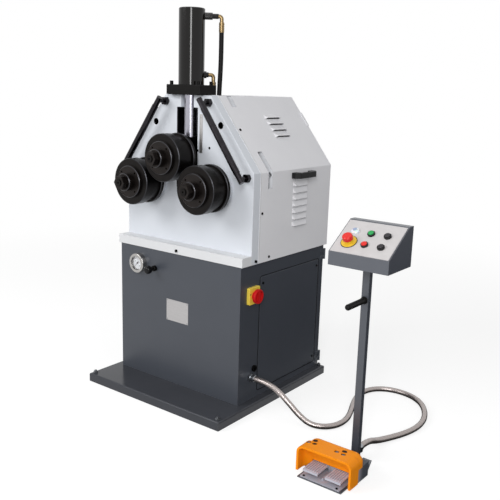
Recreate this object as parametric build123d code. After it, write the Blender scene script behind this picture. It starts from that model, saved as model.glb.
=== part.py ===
import math
import os

from build123d import *

# Hydraulic three-roll bending machine with a pedal stand, in millimetres.
# X runs to the right, Y to the back and Z up; the origin is on the floor under the middle of the base tray.

# Clearances
running_gap = 0.05
sliding_gap = 0.3
hole_gap = 0.5

# Base tray and levelling feet
tray_side_margin = 41
tray_front_margin = 183
tray_back_margin = 2
tray_height = 41
tray_sheet = 4
tray_bend = 7
channel_width = 90
channel_sheet = 3
channel_end_gap = 24
foot_wall_gap = 2
foot_pad_diameter = 30
foot_pad_height = 6
foot_stud_diameter = 12
foot_stud_rise = 15
foot_nut_flats = 19
foot_nut_height = 10

# Cabinet with its rear door and side panel
cabinet_width = 744
cabinet_depth = 673
cabinet_height = 639
cabinet_sheet = 3
cabinet_lip = 25
door_sheet = 3
door_side_margin = 17
door_hinge_margin = 10
door_bottom_margin = 9
door_top_margin = 12
door_overlap = 20
hinge_length = 54
hinge_end_inset = 10
hinge_barrel_diameter = 12
hinge_pin_diameter = 6
hinge_leaf = 3
hinge_leaf_reach = 26
hinge_side_offset = 1
lock_diameter = 22
lock_length = 8
lock_inset = 30
side_panel_sheet = 2
side_panel_front_margin = 146
side_panel_back_margin = 45
side_panel_bottom_margin = 33
side_panel_top_margin = 71
side_panel_overlap = 40
side_panel_corner = 8

# Bending head: front plate, rear frame, hood and ledge
plate_width = 764
plate_thickness = 48
plate_setback = 59
plate_chamfer = 1.5
shoulder_rise = 398
crown_rise = 716.5
crown_width = 266.8
plate_spacing = 92
rear_plate_thickness = 30
accessory_hole_diameter = 30
accessory_hole_spacing = 388
accessory_hole_drop = 125.5
dowel_hole_diameter = 12
dowel_hole_x = 132
dowel_hole_drop = 226.5
lower_tie_diameter = 40
lower_tie_x = 330
lower_tie_rise = 80
upper_tie_diameter = 36
upper_tie_x = 140
upper_tie_drop = 71.5
lifting_hole_diameter = 26
lifting_hole_inset = 22
lifting_hole_drop = 16
ledge_overhang = 6
ledge_height = 41
ledge_sheet = 3
hood_sheet = 2
hood_gap = 1
hood_bend = 6
hood_back_overhang = 13
hood_flange = 30
slot_depth = 33
slot_side_drop = 72
slot_slope_run = 106
slot_top_slope_run = 60
slot_top_run = 40
louvre_length = 120
louvre_height = 22
louvre_rise = 11
louvre_slant = 12
louvre_back_margin = 206
side_louvre_count = 7
side_louvre_pitch = 31
side_louvre_drop = 66
slope_louvre_count = 4
slope_louvre_pitch = 33.7
slope_louvre_start = 187
handle_length = 168
handle_width = 26
handle_reach = 38
handle_grip = 14
handle_foot = 34
handle_drop = 27
handle_back_margin = 172
hood_stop_length = 77
hood_stop_width = 12
hood_stop_rise = 5
hood_stop_run = 268

# Black side bars of the head
bar_diameter = 29
bar_end_diameter = 25
bar_end_length = 48
bar_stand = 56
bar_top_x = 116
bar_top_drop = 14.5
bar_bottom_x = 362
bar_bottom_drop = 36
standoff_nut_flats = 33
standoff_nut_length = 20
standoff_diameter = 17
standoff_inset = 20

# Roll drive: spacing, shafts, bearings and gears
axle_spacing = 390
axle_rise = 324
roll_diameter = 210
roll_open_gap = 20
roll_front_disc = 50
roll_groove = 44
roll_rear_disc = 18
roll_groove_depth = 10
roll_chamfer = 2.5
clamp_diameter = 145
clamp_thickness = 14
clamp_hole_diameter = 9
clamp_hole_circle = 118
clamp_hole_count = 4
sleeve_diameter = 80
sleeve_length = 30
nut_flats = 55
nut_length = 27
stub_diameter = 29
stub_length = 4
thread_diameter = 36
seat_diameter = 60
seat_recess = 2
shoulder_diameter = 88
shoulder_length = 30
shoulder_gap = 4
journal_diameter = 70
centre_hole_diameter = 8
centre_hole_depth = 10
front_bearing_flange = 150
front_bearing_flange_thickness = 18
front_bearing_neck = 110
rear_bearing_flange = 130
rear_bearing_flange_thickness = 12
rear_bearing_neck = 100
gear_teeth = 40
pinion_teeth = 25
pressure_angle = 20
tooth_play = 0.8
gear_width = 35
gear_gap = 9
gear_seat_end = 8
gear_web_recess = 8
gear_rim = 16
gear_hub_diameter = 104
pinion_shaft_diameter = 44
pinion_bush_diameter = 64
pinion_shaft_seat = 30

# Gearmotor behind the rear frame
gearbox_width = 170
gearbox_height = 220
gearbox_length = 130
gearbox_gap = 33
gearbox_edge = 10
motor_diameter = 170
motor_length = 210
motor_cowl_diameter = 178
motor_cowl_length = 56
pedestal_width = 120
terminal_box_width = 90
terminal_box_height = 46
terminal_box_length = 100

# Press slide and hydraulic cylinder
slide_slot_width = 125
slide_slot_rise = 300
slide_slot_top_drop = 54.5
notch_width = 76
guide_thickness = 6
guide_end_gap = 1
slide_block_height = 172
slide_boss_diameter = 110
keeper_width = 170
keeper_thickness = 23
keeper_gap = 0.5
rear_boss_diameter = 100
rear_boss_length = 30
pointer_width = 10
pointer_reach = 14
pointer_rise = 30
pointer_thickness = 3
rod_diameter = 60
rod_thread_diameter = 40
rod_thread_length = 40
piston_diameter = 90
piston_length = 40
piston_rest = 50
flange_width = 196
flange_depth = 112
flange_thickness = 43.5
flange_bolt_inset = 18
flange_bolt_inset_y = 14
barrel_diameter = 115
barrel_length = 325
barrel_cap = 18
barrel_chamfer = 3

# Cylinder ports, elbows and hoses
upper_port_drop = 31
upper_port_angle = 41
lower_port_rise = 45
lower_port_angle = 45
port_hex_flats = 26
port_diameter = 22
port_sink = 4
upper_port_hex_end = 90
upper_port_end = 116
upper_elbow_reach = 130
lower_port_end = 76
lower_elbow_reach = 98
elbow_diameter = 17
elbow_bend = 12
ferrule_diameter = 23
ferrule_drop = 25
lower_ferrule_drop = 30
ferrule_length = 42
lower_ferrule_length = 36
hose_diameter = 21
upper_hose_x = 92
upper_hose_setback = 83
hose_hole_gap = 5

# Hydraulic power unit inside the cabinet
tank_width = 330
tank_depth = 330
tank_height = 255
tank_centre_x = 25
tank_front_gap = 116
tank_edge = 14
tank_wall = 4
tank_lid = 6
manifold_width = 104
manifold_depth = 90
manifold_height = 122
manifold_edge = 3
pump_motor_diameter = 160
pump_motor_height = 230
pump_motor_offset = -85
pump_motor_setback = 220
filler_diameter = 60
filler_bore = 44
filler_height = 30
filler_offset = 95
filler_setback = 280

# Gauge, valve, main switch, plates and plug on the cabinet
gauge_inset = 126
gauge_drop = 81
gauge_diameter = 94
gauge_depth = 26
gauge_back = 12
gauge_rim = 14
gauge_edge = 4
gauge_seat = 2
gauge_lens_thickness = 3
gauge_lens_set = 3
gauge_stem_diameter = 20
gauge_stem_length = 30
needle_length = 26
needle_tail = 9
needle_width = 3
needle_thickness = 1
needle_hub = 9
needle_hub_height = 2.5
needle_pin_diameter = 3
needle_pin_length = 6
needle_lift = 1
needle_zero_angle = 225
valve_inset = 229
valve_drop = 92
valve_collar_diameter = 27
valve_collar_length = 15
valve_stem_diameter = 10
valve_knob_diameter = 38
valve_knob_length = 28
valve_knob_front_edge = 12
valve_knob_back_edge = 5
valve_knob_stand = 35
valve_knob_lobes = 12
valve_knob_lobe_diameter = 5
switch_setback = 86
switch_drop = 140
switch_plate_size = 78
switch_plate_thickness = 14
switch_plate_corner = 8
switch_knob_diameter = 66
switch_knob_wall = 7
switch_knob_thickness = 14
switch_knob_height = 26
switch_recess_depth = 8
switch_neck_diameter = 42
switch_knob_edge = 4
switch_grip_width = 16
switch_stem_diameter = 10
switch_stem_length = 10
plug_setback = 114
plug_rise = 146
plug_diameter = 32
plug_height = 7
plug_spigot_diameter = 22
plug_spigot_length = 8
data_plate_width = 136
data_plate_height = 103
data_plate_thickness = 1
data_plate_x = 2
data_plate_drop = 276.5
scale_x = 83
scale_width = 18
scale_height = 170
scale_drop = 166.5

# Black screws and bolts
screw_diameter = 6
screw_head_diameter = 12
screw_head_height = 3.5
screw_length = 8
panel_screw_inset_y = 16
panel_screw_inset_z = 28
ledge_bolt_diameter = 8
ledge_bolt_head = 13
ledge_bolt_head_height = 7
ledge_bolt_rise = 16
ledge_bolt_length = 10
plate_bolt_setback = 29
plate_bolt_rise = 14
flange_bolt_diameter = 10
flange_bolt_head = 16
flange_bolt_head_height = 16
flange_bolt_length = 30
bolt_socket_share = 0.75
tray_screw_head = 9
tray_screw_inset_x = 14
tray_screw_inset_y = 6
hood_slope_screw_run = 223
hood_slope_screw_setback = 25
hood_side_screw_setback = 19
hood_side_screw_rise = 222
hood_low_screw_setback = 80
hood_low_screw_rise = 20

# Control stand: foot plate, post, grip and console
post_reach = 610
post_forward = 14
post_width = 30
post_depth = 25
post_wall = 2
post_height = 794
foot_plate_width = 190
foot_plate_offset = -15
foot_plate_front = 252
foot_plate_depth = 204
foot_plate_thickness = 4
tongue_width = 80
tongue_reach = 15
ear_rise = 35
ear_reach = 28
ear_gap = 3
grip_diameter = 23
grip_length = 133
grip_height = 663
grip_core_diameter = 12
grip_core_length = 118
grip_collar_diameter = 29
grip_collar_length = 6
grip_gap = 2
console_width = 248
console_front = 87
console_back = 99
console_lip_height = 52
console_panel_rise = 103
console_panel_run = 153
console_sheet = 2
console_panel_thickness = 2
console_panel_margin = 4
console_panel_top_margin = 8
console_panel_low_margin = 2

# Console controls, placed by (across, up) on the sloping panel
control_across = [57, 124, 191]
lamp_up = 116
estop_up = 60
button_upper_up = 115
button_lower_up = 55.5
bezel_diameter = 29
bezel_height = 8
bezel_floor = 3
housing_diameter = 22
housing_length = 26
cap_diameter = 21.8
cap_top = 11
cap_thickness = 3.8
cap_stem_diameter = 10
cap_stem_length = 16
cap_edge = 1
lamp_top = 13
lamp_edge = 3
collar_diameter = 60
collar_thickness = 3
collar_neck_diameter = 29
collar_neck_height = 7
mushroom_diameter = 40
mushroom_bottom = 16
mushroom_height = 18
mushroom_edge = 7
mushroom_stem_diameter = 16
mushroom_stem_length = 26

# Foot pedals and their guard
pedal_width = 66
pedal_spacing = 98
pedal_length = 104
pedal_front_inset = 16
pedal_pad_thickness = 5
pedal_pad_height = 36
pedal_pad_slope = 4
pedal_lip = 9
pedal_rib_count = 7
pedal_rib_width = 3
pedal_rib_height = 1.5
pedal_rib_inset = 8
pedal_rib_margin = 3
pedal_cheek = 4
pedal_cheek_reach = 46
pedal_hub_diameter = 18
pedal_axle_diameter = 8
pedal_axle_inset = 12
pedal_axle_height = 24
pedal_lug_length = 20
pedal_lug_width = 7
pedal_lug_height = 33
pedal_tray_width = 171
pedal_tray_inset = 4
pedal_tray_thickness = 5
pedal_rib_length = 70
pedal_housing_width = 219
pedal_side_wall = 3.5
pedal_housing_gap = 2
pedal_housing_depth = 60
pedal_housing_height = 58
pedal_housing_edge = 4
guard_width = 237
guard_leg = 16
guard_crown = 6
guard_front_inset = 24
guard_depth = 52
guard_bottom = 12
guard_top = 117
guard_corner = 30
guard_rear_width = 221
guard_rear_wall = 5
guard_rear_corner = 22
guard_rear_overhang = 18
guard_gap = 0.5
guard_skirt_top = 75
guard_apron_gap = 1
guard_apron_bottom = 43
guard_apron_top = 95
guard_recess_diameter = 20
guard_recess_depth = 4.5
guard_recess_places = [(-94, 48), (-81, 75), (-69, 50), (27, 52), (48, 74), (57, 49)]

# Conduit between the cabinet and the stand
conduit_diameter = 25
conduit_floor_gap = 0.2
gland_setback = 86
gland_rise = 111
gland_hex_flats = 36
gland_hex_length = 12
gland_nut_diameter = 31
gland_nut_length = 20
gland_thread_diameter = 20
gland_thread_length = 8
stand_gland_height = 45
stand_gland_nut_length = 13.5
# Its route from the cabinet, as shares: right and back of the reach between the glands,
# and up of the gland's height
conduit_route = [
    (0, 0, 1), (0.0969, 0, 1), (0.2111, 0.0035, 0.8529), (0.3183, 0.0121, 0.5238), (0.4083, 0.019, 0.2227),
    (0.5017, 0.026, 0.0336), (0.5969, 0.0727, 0), (0.6574, 0.1661, 0), (0.6644, 0.2872, 0),
    (0.6298, 0.4118, 0),
    (0.5727, 0.5502, 0), (0.5225, 0.692, 0), (0.5069, 0.8166, 0), (0.5329, 0.9273, 0), (0.609, 1.0121, 0),
    (0.7301, 1.0502, 0), (0.8651, 1.0311, 0), (0.9827, 0.9533, 0), (1.0727, 0.8218, 0), (1.128, 0.6713, 0),
    (1.1384, 0.519, 0), (1.1055, 0.3702, 0), (1.0484, 0.2353, 0), (1.0104, 0.1142, 0.2458), (1, 0, 1),
    (1, -0.1073, 1),
]

# Places worked out from the sizes above
tray_width = cabinet_width + 2 * tray_side_margin
tray_depth = cabinet_depth + tray_front_margin + tray_back_margin
cabinet_front = tray_front_margin - tray_depth / 2
cabinet_back = cabinet_front + cabinet_depth
cabinet_side = cabinet_width / 2
cabinet_top = tray_height + cabinet_height
plate_front = cabinet_front + plate_setback
plate_back = plate_front + plate_thickness
plate_middle = (plate_front + plate_back) / 2
plate_side = plate_width / 2
shoulder_z = cabinet_top + shoulder_rise
crown_z = cabinet_top + crown_rise
rear_plate_front = plate_back + plate_spacing
rear_plate_back = rear_plate_front + rear_plate_thickness
hood_back = cabinet_back + hood_back_overhang
slope_length = math.hypot(plate_side - crown_width / 2, crown_z - shoulder_z)
slope_up = ((crown_width / 2 - plate_side) / slope_length, (crown_z - shoulder_z) / slope_length)
slope_out = (slope_up[1], -slope_up[0])
axle_x = axle_spacing / 2
axle_z = cabinet_top + axle_rise
top_axle_z = axle_z + math.sqrt((roll_diameter + roll_open_gap) ** 2 - axle_x**2)
shoulder_back = plate_front - front_bearing_flange_thickness - shoulder_gap
roll_back = shoulder_back - shoulder_length
roll_front = roll_back - roll_rear_disc - roll_groove - roll_front_disc
clamp_front = roll_front - clamp_thickness
sleeve_front = clamp_front - sleeve_length
nut_front = sleeve_front - nut_length
gear_front = rear_plate_back + gear_gap
gear_back = gear_front + gear_width
gear_module = axle_spacing / (gear_teeth + pinion_teeth)
gearbox_front = gear_back + gearbox_gap
slot_bottom_z = cabinet_top + slide_slot_rise
slot_top_z = crown_z - slide_slot_top_drop
block_side = slide_slot_width / 2 - guide_thickness - sliding_gap
block_bottom_z = top_axle_z - slide_block_height / 2
block_top_z = top_axle_z + slide_block_height / 2
barrel_bottom_z = crown_z + flange_thickness
barrel_top_z = barrel_bottom_z + barrel_length
piston_z = barrel_bottom_z + piston_rest
manifold_top_z = tray_height + tank_height + tank_lid + manifold_height
tank_front = cabinet_front + tank_front_gap
upper_hose_y = plate_middle + upper_hose_setback
gauge_x = gauge_inset - cabinet_side
valve_x = valve_inset - cabinet_side
hinge_x = cabinet_side + hinge_side_offset
hinge_y = cabinet_back + door_sheet + hinge_barrel_diameter / 2
switch_y = cabinet_front + switch_setback
switch_z = cabinet_top - switch_drop
post_x = cabinet_side + post_reach
post_y = cabinet_front - post_forward
foot_plate_x = post_x + foot_plate_offset
foot_plate_y = post_y - foot_plate_front
foot_plate_back = foot_plate_y + foot_plate_depth
post_top = foot_plate_thickness + post_height
post_front = post_y - post_depth / 2
post_back = post_y + post_depth / 2
console_front_y = post_y - console_front
console_lip_z = post_top + console_lip_height
panel_length = math.hypot(console_panel_run, console_panel_rise)
panel_angle = math.degrees(math.atan2(console_panel_rise, console_panel_run))
panel_plane = Plane(
    origin=(post_x - console_width / 2, console_front_y, console_lip_z),
    x_dir=(1, 0, 0),
    z_dir=(0, -console_panel_rise, console_panel_run),
)
pedal_front_y = foot_plate_y + pedal_front_inset
pedal_back_y = pedal_front_y + pedal_length
pedal_axle_y = pedal_back_y - pedal_axle_inset
pedal_tray_top = foot_plate_thickness + pedal_tray_thickness
housing_front_y = pedal_back_y + pedal_housing_gap
housing_top_z = foot_plate_thickness + pedal_housing_height


def block(x0, x1, y0, y1, z0, z1):
    return Pos((x0 + x1) / 2, (y0 + y1) / 2, (z0 + z1) / 2) * Box(x1 - x0, y1 - y0, z1 - z0)


def rod_x(diameter, x0, x1, y, z):
    return extrude(Plane.YZ.offset(x0) * Pos(y, z) * Circle(diameter / 2), x1 - x0)


def rod_y(diameter, y0, y1, x, z):
    return extrude(Plane.XZ.offset(-y1) * Pos(x, z) * Circle(diameter / 2), y1 - y0)


def rod_z(diameter, z0, z1, x, y):
    return Pos(x, y, z0) * extrude(Circle(diameter / 2), z1 - z0)


def hex_face(flats):
    return RegularPolygon(flats / 2, 6, major_radius=False)


def outline(points):
    return make_face(Polyline(*points, close=True))


def prism_x(points, x0, x1):
    return extrude(Plane.YZ.offset(x0) * outline(points), x1 - x0)


def prism_y(face, y0, y1):
    return extrude(Plane.XZ.offset(-y1) * face, y1 - y0)


def turned(x, z, steps):
    # A solid turned about an axis along Y, from (diameter, front, back) steps
    points = [(0, steps[0][1])]
    for diameter, front, back in steps:
        points += [(diameter / 2, front), (diameter / 2, back)]
    points.append((0, steps[-1][2]))
    return Pos(x, 0, z) * revolve(outline(points), Axis.Y)


def group(*pieces):
    return Compound([solid for piece in pieces for solid in piece.solids()])


def mirrored(piece):
    return mirror(piece, about=Plane.YZ)


def corners(half_x, half_y, x=0, y=0):
    return [(x + sx * half_x, y + sy * half_y) for sx in (-1, 1) for sy in (-1, 1)]


foot_places = corners(
    tray_width / 2 - tray_sheet - foot_wall_gap - foot_pad_diameter / 2,
    tray_depth / 2 - tray_sheet - foot_wall_gap - foot_pad_diameter / 2,
)


def base_tray():
    half_x = tray_width / 2
    half_y = tray_depth / 2
    inner_x = half_x - tray_sheet
    inner_y = half_y - tray_sheet
    top_underside = tray_height - tray_sheet
    outer = block(-half_x, half_x, -half_y, half_y, 0, tray_height)
    outer = fillet(outer.edges().group_by(Axis.Z)[-1], tray_bend)
    inner = block(-inner_x, inner_x, -inner_y, inner_y, -tray_sheet, top_underside)
    inner = fillet(inner.edges().group_by(Axis.Z)[-1], max(tray_bend - tray_sheet, 1))
    channel_end = inner_x - channel_end_gap
    side = channel_width / 2
    channel = block(-channel_end, channel_end, -side, side, 0, top_underside)
    channel -= block(
        -half_x, half_x, channel_sheet - side, side - channel_sheet, channel_sheet, top_underside
    )
    tray = outer - inner + channel
    for x, y in foot_places:
        tray -= rod_z(foot_stud_diameter + 2 * hole_gap, 0, tray_height + 1, x, y)
    return tray


def levelling_feet():
    feet = []
    for x, y in foot_places:
        foot = rod_z(foot_pad_diameter, 0, foot_pad_height, x, y)
        foot += rod_z(foot_stud_diameter, foot_pad_height, tray_height + foot_stud_rise, x, y)
        foot += Pos(x, y, tray_height) * extrude(hex_face(foot_nut_flats), foot_nut_height)
        feet.append(foot)
    return group(*feet)


door_x0 = door_side_margin - cabinet_side
door_x1 = cabinet_side - door_hinge_margin
door_z0 = tray_height + door_bottom_margin
door_z1 = cabinet_top - door_top_margin
hinge_bottoms = [door_z0 + hinge_end_inset, door_z1 - hinge_end_inset - hinge_length]
panel_y0 = cabinet_front + side_panel_front_margin
panel_y1 = cabinet_back - side_panel_back_margin
panel_z0 = tray_height + side_panel_bottom_margin
panel_z1 = cabinet_top - side_panel_top_margin
panel_screw_places = corners(
    (panel_y1 - panel_y0) / 2 - panel_screw_inset_y,
    (panel_z1 - panel_z0) / 2 - panel_screw_inset_z,
    (panel_y0 + panel_y1) / 2,
    (panel_z0 + panel_z1) / 2,
)


def port_place(angle, reach):
    # A point at this reach from the cylinder's axis
    turn = math.radians(angle)
    return reach * math.cos(turn), plate_middle + reach * math.sin(turn)


upper_elbow_place = port_place(upper_port_angle, upper_elbow_reach)
lower_elbow_place = port_place(lower_port_angle, lower_elbow_reach)
hose_places = [(upper_hose_x, upper_hose_y), lower_elbow_place]


def fixed_hinge_half(bottom):
    # Two outer barrels with the pin, on a leaf welded to the cabinet's side
    third = hinge_length / 3
    half = rod_z(hinge_pin_diameter, bottom, bottom + hinge_length, hinge_x, hinge_y)
    for z in (bottom, bottom + 2 * third):
        half += rod_z(hinge_barrel_diameter, z, z + third - sliding_gap / 2, hinge_x, hinge_y)
        half += block(
            cabinet_side, cabinet_side + hinge_leaf, cabinet_back - hinge_leaf_reach, hinge_y,
            z, z + third - sliding_gap / 2,
        )
    return half


def cabinet_shell():
    inner = cabinet_side - cabinet_sheet
    shell = block(-cabinet_side, cabinet_side, cabinet_front, cabinet_back, tray_height, cabinet_top)
    shell -= block(
        -inner, inner, cabinet_front + cabinet_sheet, cabinet_back - cabinet_sheet,
        tray_height + cabinet_sheet, cabinet_top - cabinet_sheet,
    )
    shell -= block(
        cabinet_lip - cabinet_side, cabinet_side - cabinet_lip, cabinet_front + cabinet_lip,
        cabinet_back - cabinet_lip, tray_height - 1, tray_height + cabinet_sheet + 1,
    )
    shell -= block(
        door_x0 + door_overlap, door_x1 - door_overlap, cabinet_back - 2 * cabinet_sheet, cabinet_back + 1,
        door_z0 + door_overlap, door_z1 - door_overlap,
    )
    shell -= block(
        inner - 1, cabinet_side + 1, panel_y0 + side_panel_overlap, panel_y1 - side_panel_overlap,
        panel_z0 + side_panel_overlap, panel_z1 - side_panel_overlap,
    )
    for y, z in panel_screw_places:
        shell -= rod_x(screw_diameter + 2 * hole_gap, inner - 1, cabinet_side + 1, y, z)
    for x, y in hose_places:
        shell -= rod_z(
            hose_diameter + 2 * hose_hole_gap, cabinet_top - 2 * cabinet_sheet, cabinet_top + 1, x, y
        )
    wall_y = (cabinet_front - 1, cabinet_front + 2 * cabinet_sheet)
    shell -= rod_y(gauge_stem_diameter + 2 * hole_gap, *wall_y, gauge_x, cabinet_top - gauge_drop)
    shell -= rod_y(valve_stem_diameter + 4 * hole_gap, *wall_y, valve_x, cabinet_top - valve_drop)
    wall_x = (inner - 1, cabinet_side + 1)
    shell -= rod_x(switch_stem_diameter + 4 * hole_gap, *wall_x, switch_y, switch_z)
    shell -= rod_x(
        plug_spigot_diameter + 2 * hole_gap, *wall_x, cabinet_front + plug_setback, tray_height + plug_rise
    )
    shell -= rod_x(
        gland_thread_diameter + 2 * hole_gap, *wall_x, cabinet_front + gland_setback,
        tray_height + gland_rise
    )
    for bottom in hinge_bottoms:
        shell += fixed_hinge_half(bottom)
    return shell


def side_panel():
    face = RectangleRounded(panel_y1 - panel_y0, panel_z1 - panel_z0, side_panel_corner)
    centre = Pos((panel_y0 + panel_y1) / 2, (panel_z0 + panel_z1) / 2)
    panel = extrude(Plane.YZ.offset(cabinet_side) * centre * face, side_panel_sheet)
    for y, z in panel_screw_places:
        panel -= rod_x(
            screw_diameter + 2 * hole_gap, cabinet_side - 1, cabinet_side + side_panel_sheet + 1, y, z
        )
    return panel


def rear_door():
    back = cabinet_back + door_sheet
    third = hinge_length / 3
    door = block(door_x0, door_x1, cabinet_back, back, door_z0, door_z1)
    door += rod_y(lock_diameter, back, back + lock_length, door_x0 + lock_inset, (door_z0 + door_z1) / 2)
    for bottom in hinge_bottoms:
        z0 = bottom + third + sliding_gap / 2
        z1 = bottom + 2 * third - sliding_gap / 2
        barrel = rod_z(hinge_barrel_diameter, z0, z1, hinge_x, hinge_y)
        barrel += block(hinge_x - hinge_leaf_reach, hinge_x, back, back + hinge_leaf, z0, z1)
        pin_hole = rod_z(hinge_pin_diameter + 2 * running_gap, z0 - 1, z1 + 1, hinge_x, hinge_y)
        door += barrel - pin_hole
    return door


def front_ledge():
    front = cabinet_front - ledge_overhang
    top = cabinet_top + ledge_height
    ledge = block(-plate_side, plate_side, front, plate_front, cabinet_top, top)
    ledge -= block(
        ledge_sheet - plate_side, plate_side - ledge_sheet, front + ledge_sheet, plate_front + 1,
        cabinet_top + ledge_sheet, top - ledge_sheet,
    )
    ledge -= rod_y(
        ledge_bolt_diameter + 2 * hole_gap, front - 1, front + 2 * ledge_sheet, 0,
        cabinet_top + ledge_bolt_rise
    )
    return ledge


def head_outline(inset):
    # House shape of the head, drawn in by an even distance at its sides, slopes and top
    half = plate_side - inset
    shoulder = shoulder_z - inset * (1 - slope_out[0]) / slope_out[1]
    crown_half = crown_width / 2 - inset * (1 - slope_out[1]) / slope_out[0]
    crown = crown_z - inset
    right = [(half, cabinet_top), (half, shoulder), (crown_half, crown)]
    left = [(-x, z) for x, z in reversed(right)]
    return outline(right + left)


def front_plate():
    plate = prism_y(head_outline(0), plate_front, plate_back)
    plate = chamfer(plate.faces().sort_by(Axis.Y)[0].outer_wire().edges(), plate_chamfer)
    through = (plate_front - 1, plate_back + 1)
    slot = slide_slot_width / 2
    plate -= block(-slot, slot, *through, slot_bottom_z, slot_top_z)
    plate -= block(-notch_width / 2, notch_width / 2, *through, slot_top_z - 1, crown_z + 1)
    bolt_z = cabinet_top + plate_bolt_rise
    bolt_y = plate_front + plate_bolt_setback
    for side in (-1, 1):
        plate -= rod_y(front_bearing_neck + 2 * running_gap, *through, side * axle_x, axle_z)
        hole_x = side * accessory_hole_spacing / 2
        plate -= rod_y(accessory_hole_diameter, *through, hole_x, crown_z - accessory_hole_drop)
        bolt_hole = rod_x(
            ledge_bolt_diameter + 2 * hole_gap, plate_side - ledge_bolt_length - 1, plate_side + 1,
            bolt_y, bolt_z
        )
        plate -= bolt_hole if side > 0 else mirrored(bolt_hole)
    plate -= rod_y(dowel_hole_diameter, *through, dowel_hole_x, crown_z - dowel_hole_drop)
    return plate


def rear_frame():
    frame = prism_y(head_outline(hood_sheet + hood_gap), rear_plate_front, rear_plate_back)
    through = (rear_plate_front - 1, rear_plate_back + 1)
    frame -= rod_y(pinion_bush_diameter + 2 * running_gap, *through, 0, axle_z)
    for side in (-1, 1):
        frame -= rod_y(rear_bearing_neck + 2 * running_gap, *through, side * axle_x, axle_z)
        frame -= rod_y(
            lifting_hole_diameter, *through, side * (plate_side - lifting_hole_inset),
            shoulder_z - lifting_hole_drop
        )
        frame += rod_y(
            lower_tie_diameter, plate_back, rear_plate_front, side * lower_tie_x,
            cabinet_top + lower_tie_rise
        )
        frame += rod_y(
            upper_tie_diameter, plate_back, rear_plate_front, side * upper_tie_x, crown_z - upper_tie_drop
        )
    return frame


def slope_place(run, y):
    # Frame on the right slope of the hood: X to the back, Y up the slope, Z out of it
    x = plate_side + run * slope_up[0]
    z = shoulder_z + run * slope_up[1]
    return Plane(origin=(x, y, z), x_dir=(0, 1, 0), z_dir=(slope_out[0], 0, slope_out[1]))


def side_place(y, z):
    return Plane(origin=(plate_side, y, z), x_dir=(0, 1, 0), z_dir=(1, 0, 0))


def louvre_parts(place):
    # A pressed louvre that opens downwards, and the space under it
    top = louvre_height / 2
    inner_top = top - 3 * hood_sheet
    below = -top - 1
    half = louvre_length / 2
    skin = outline([(0, top), (louvre_rise, -top), (0, -top)])
    inner_rise = louvre_rise - hood_sheet
    depth = 2 * hood_sheet
    space = outline([(-depth, inner_top), (0, inner_top), (inner_rise, below), (-depth, below)])
    across = Plane(origin=(-half, 0, 0), x_dir=(0, 0, 1), z_dir=(-1, 0, 0))
    shell = extrude(across * skin, -louvre_length)
    end = half - louvre_slant
    shell &= prism_y(outline([(-half, 0), (half, 0), (end, louvre_rise), (-end, louvre_rise)]), -top, top)
    void = extrude(across * space, -louvre_length)
    half -= depth
    end = half - louvre_slant * inner_rise / louvre_rise
    ends = outline(
        [(-half, -depth), (half, -depth), (half, 0), (end, inner_rise), (-end, inner_rise), (-half, 0)]
    )
    void &= prism_y(ends, below, top)
    return place * shell, place * void


def louvre_places():
    middle_y = hood_back - louvre_back_margin - louvre_length / 2
    places = []
    for i in range(side_louvre_count):
        places.append(side_place(middle_y, shoulder_z - side_louvre_drop - i * side_louvre_pitch))
    for i in range(slope_louvre_count):
        places.append(slope_place(slope_louvre_start + i * slope_louvre_pitch, middle_y))
    return places


def lifting_slots():
    # Skin-deep cutters over the shoulder and over the top edge, in front of the rear plate
    y0 = rear_plate_front - slot_depth
    skin = prism_y(head_outline(-1), y0, rear_plate_front)
    skin -= prism_y(head_outline(2 * hood_sheet), y0 - 1, rear_plate_front + 1)
    span = (y0 - 1, rear_plate_front + 1)
    shoulder_top = shoulder_z + slot_slope_run * slope_up[1]
    shoulder = skin & block(
        crown_width / 2, plate_side + 2, *span, shoulder_z - slot_side_drop, shoulder_top
    )
    crown_bottom = crown_z - slot_top_slope_run * slope_up[1]
    crown = skin & block(crown_width / 2 - slot_top_run, plate_side, *span, crown_bottom, crown_z + 2)
    return [shoulder, crown]


def hood_screw_places():
    return [
        slope_place(hood_slope_screw_run, plate_back + hood_slope_screw_setback),
        side_place(plate_back + hood_side_screw_setback, cabinet_top + hood_side_screw_rise),
        side_place(plate_back + hood_low_screw_setback, cabinet_top + hood_low_screw_rise),
    ]


def hood_section(inset):
    face = head_outline(inset)
    upper = face.vertices().sort_by(Axis.Y)[2:]
    return fillet(upper, max(hood_bend - inset, 1))


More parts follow.
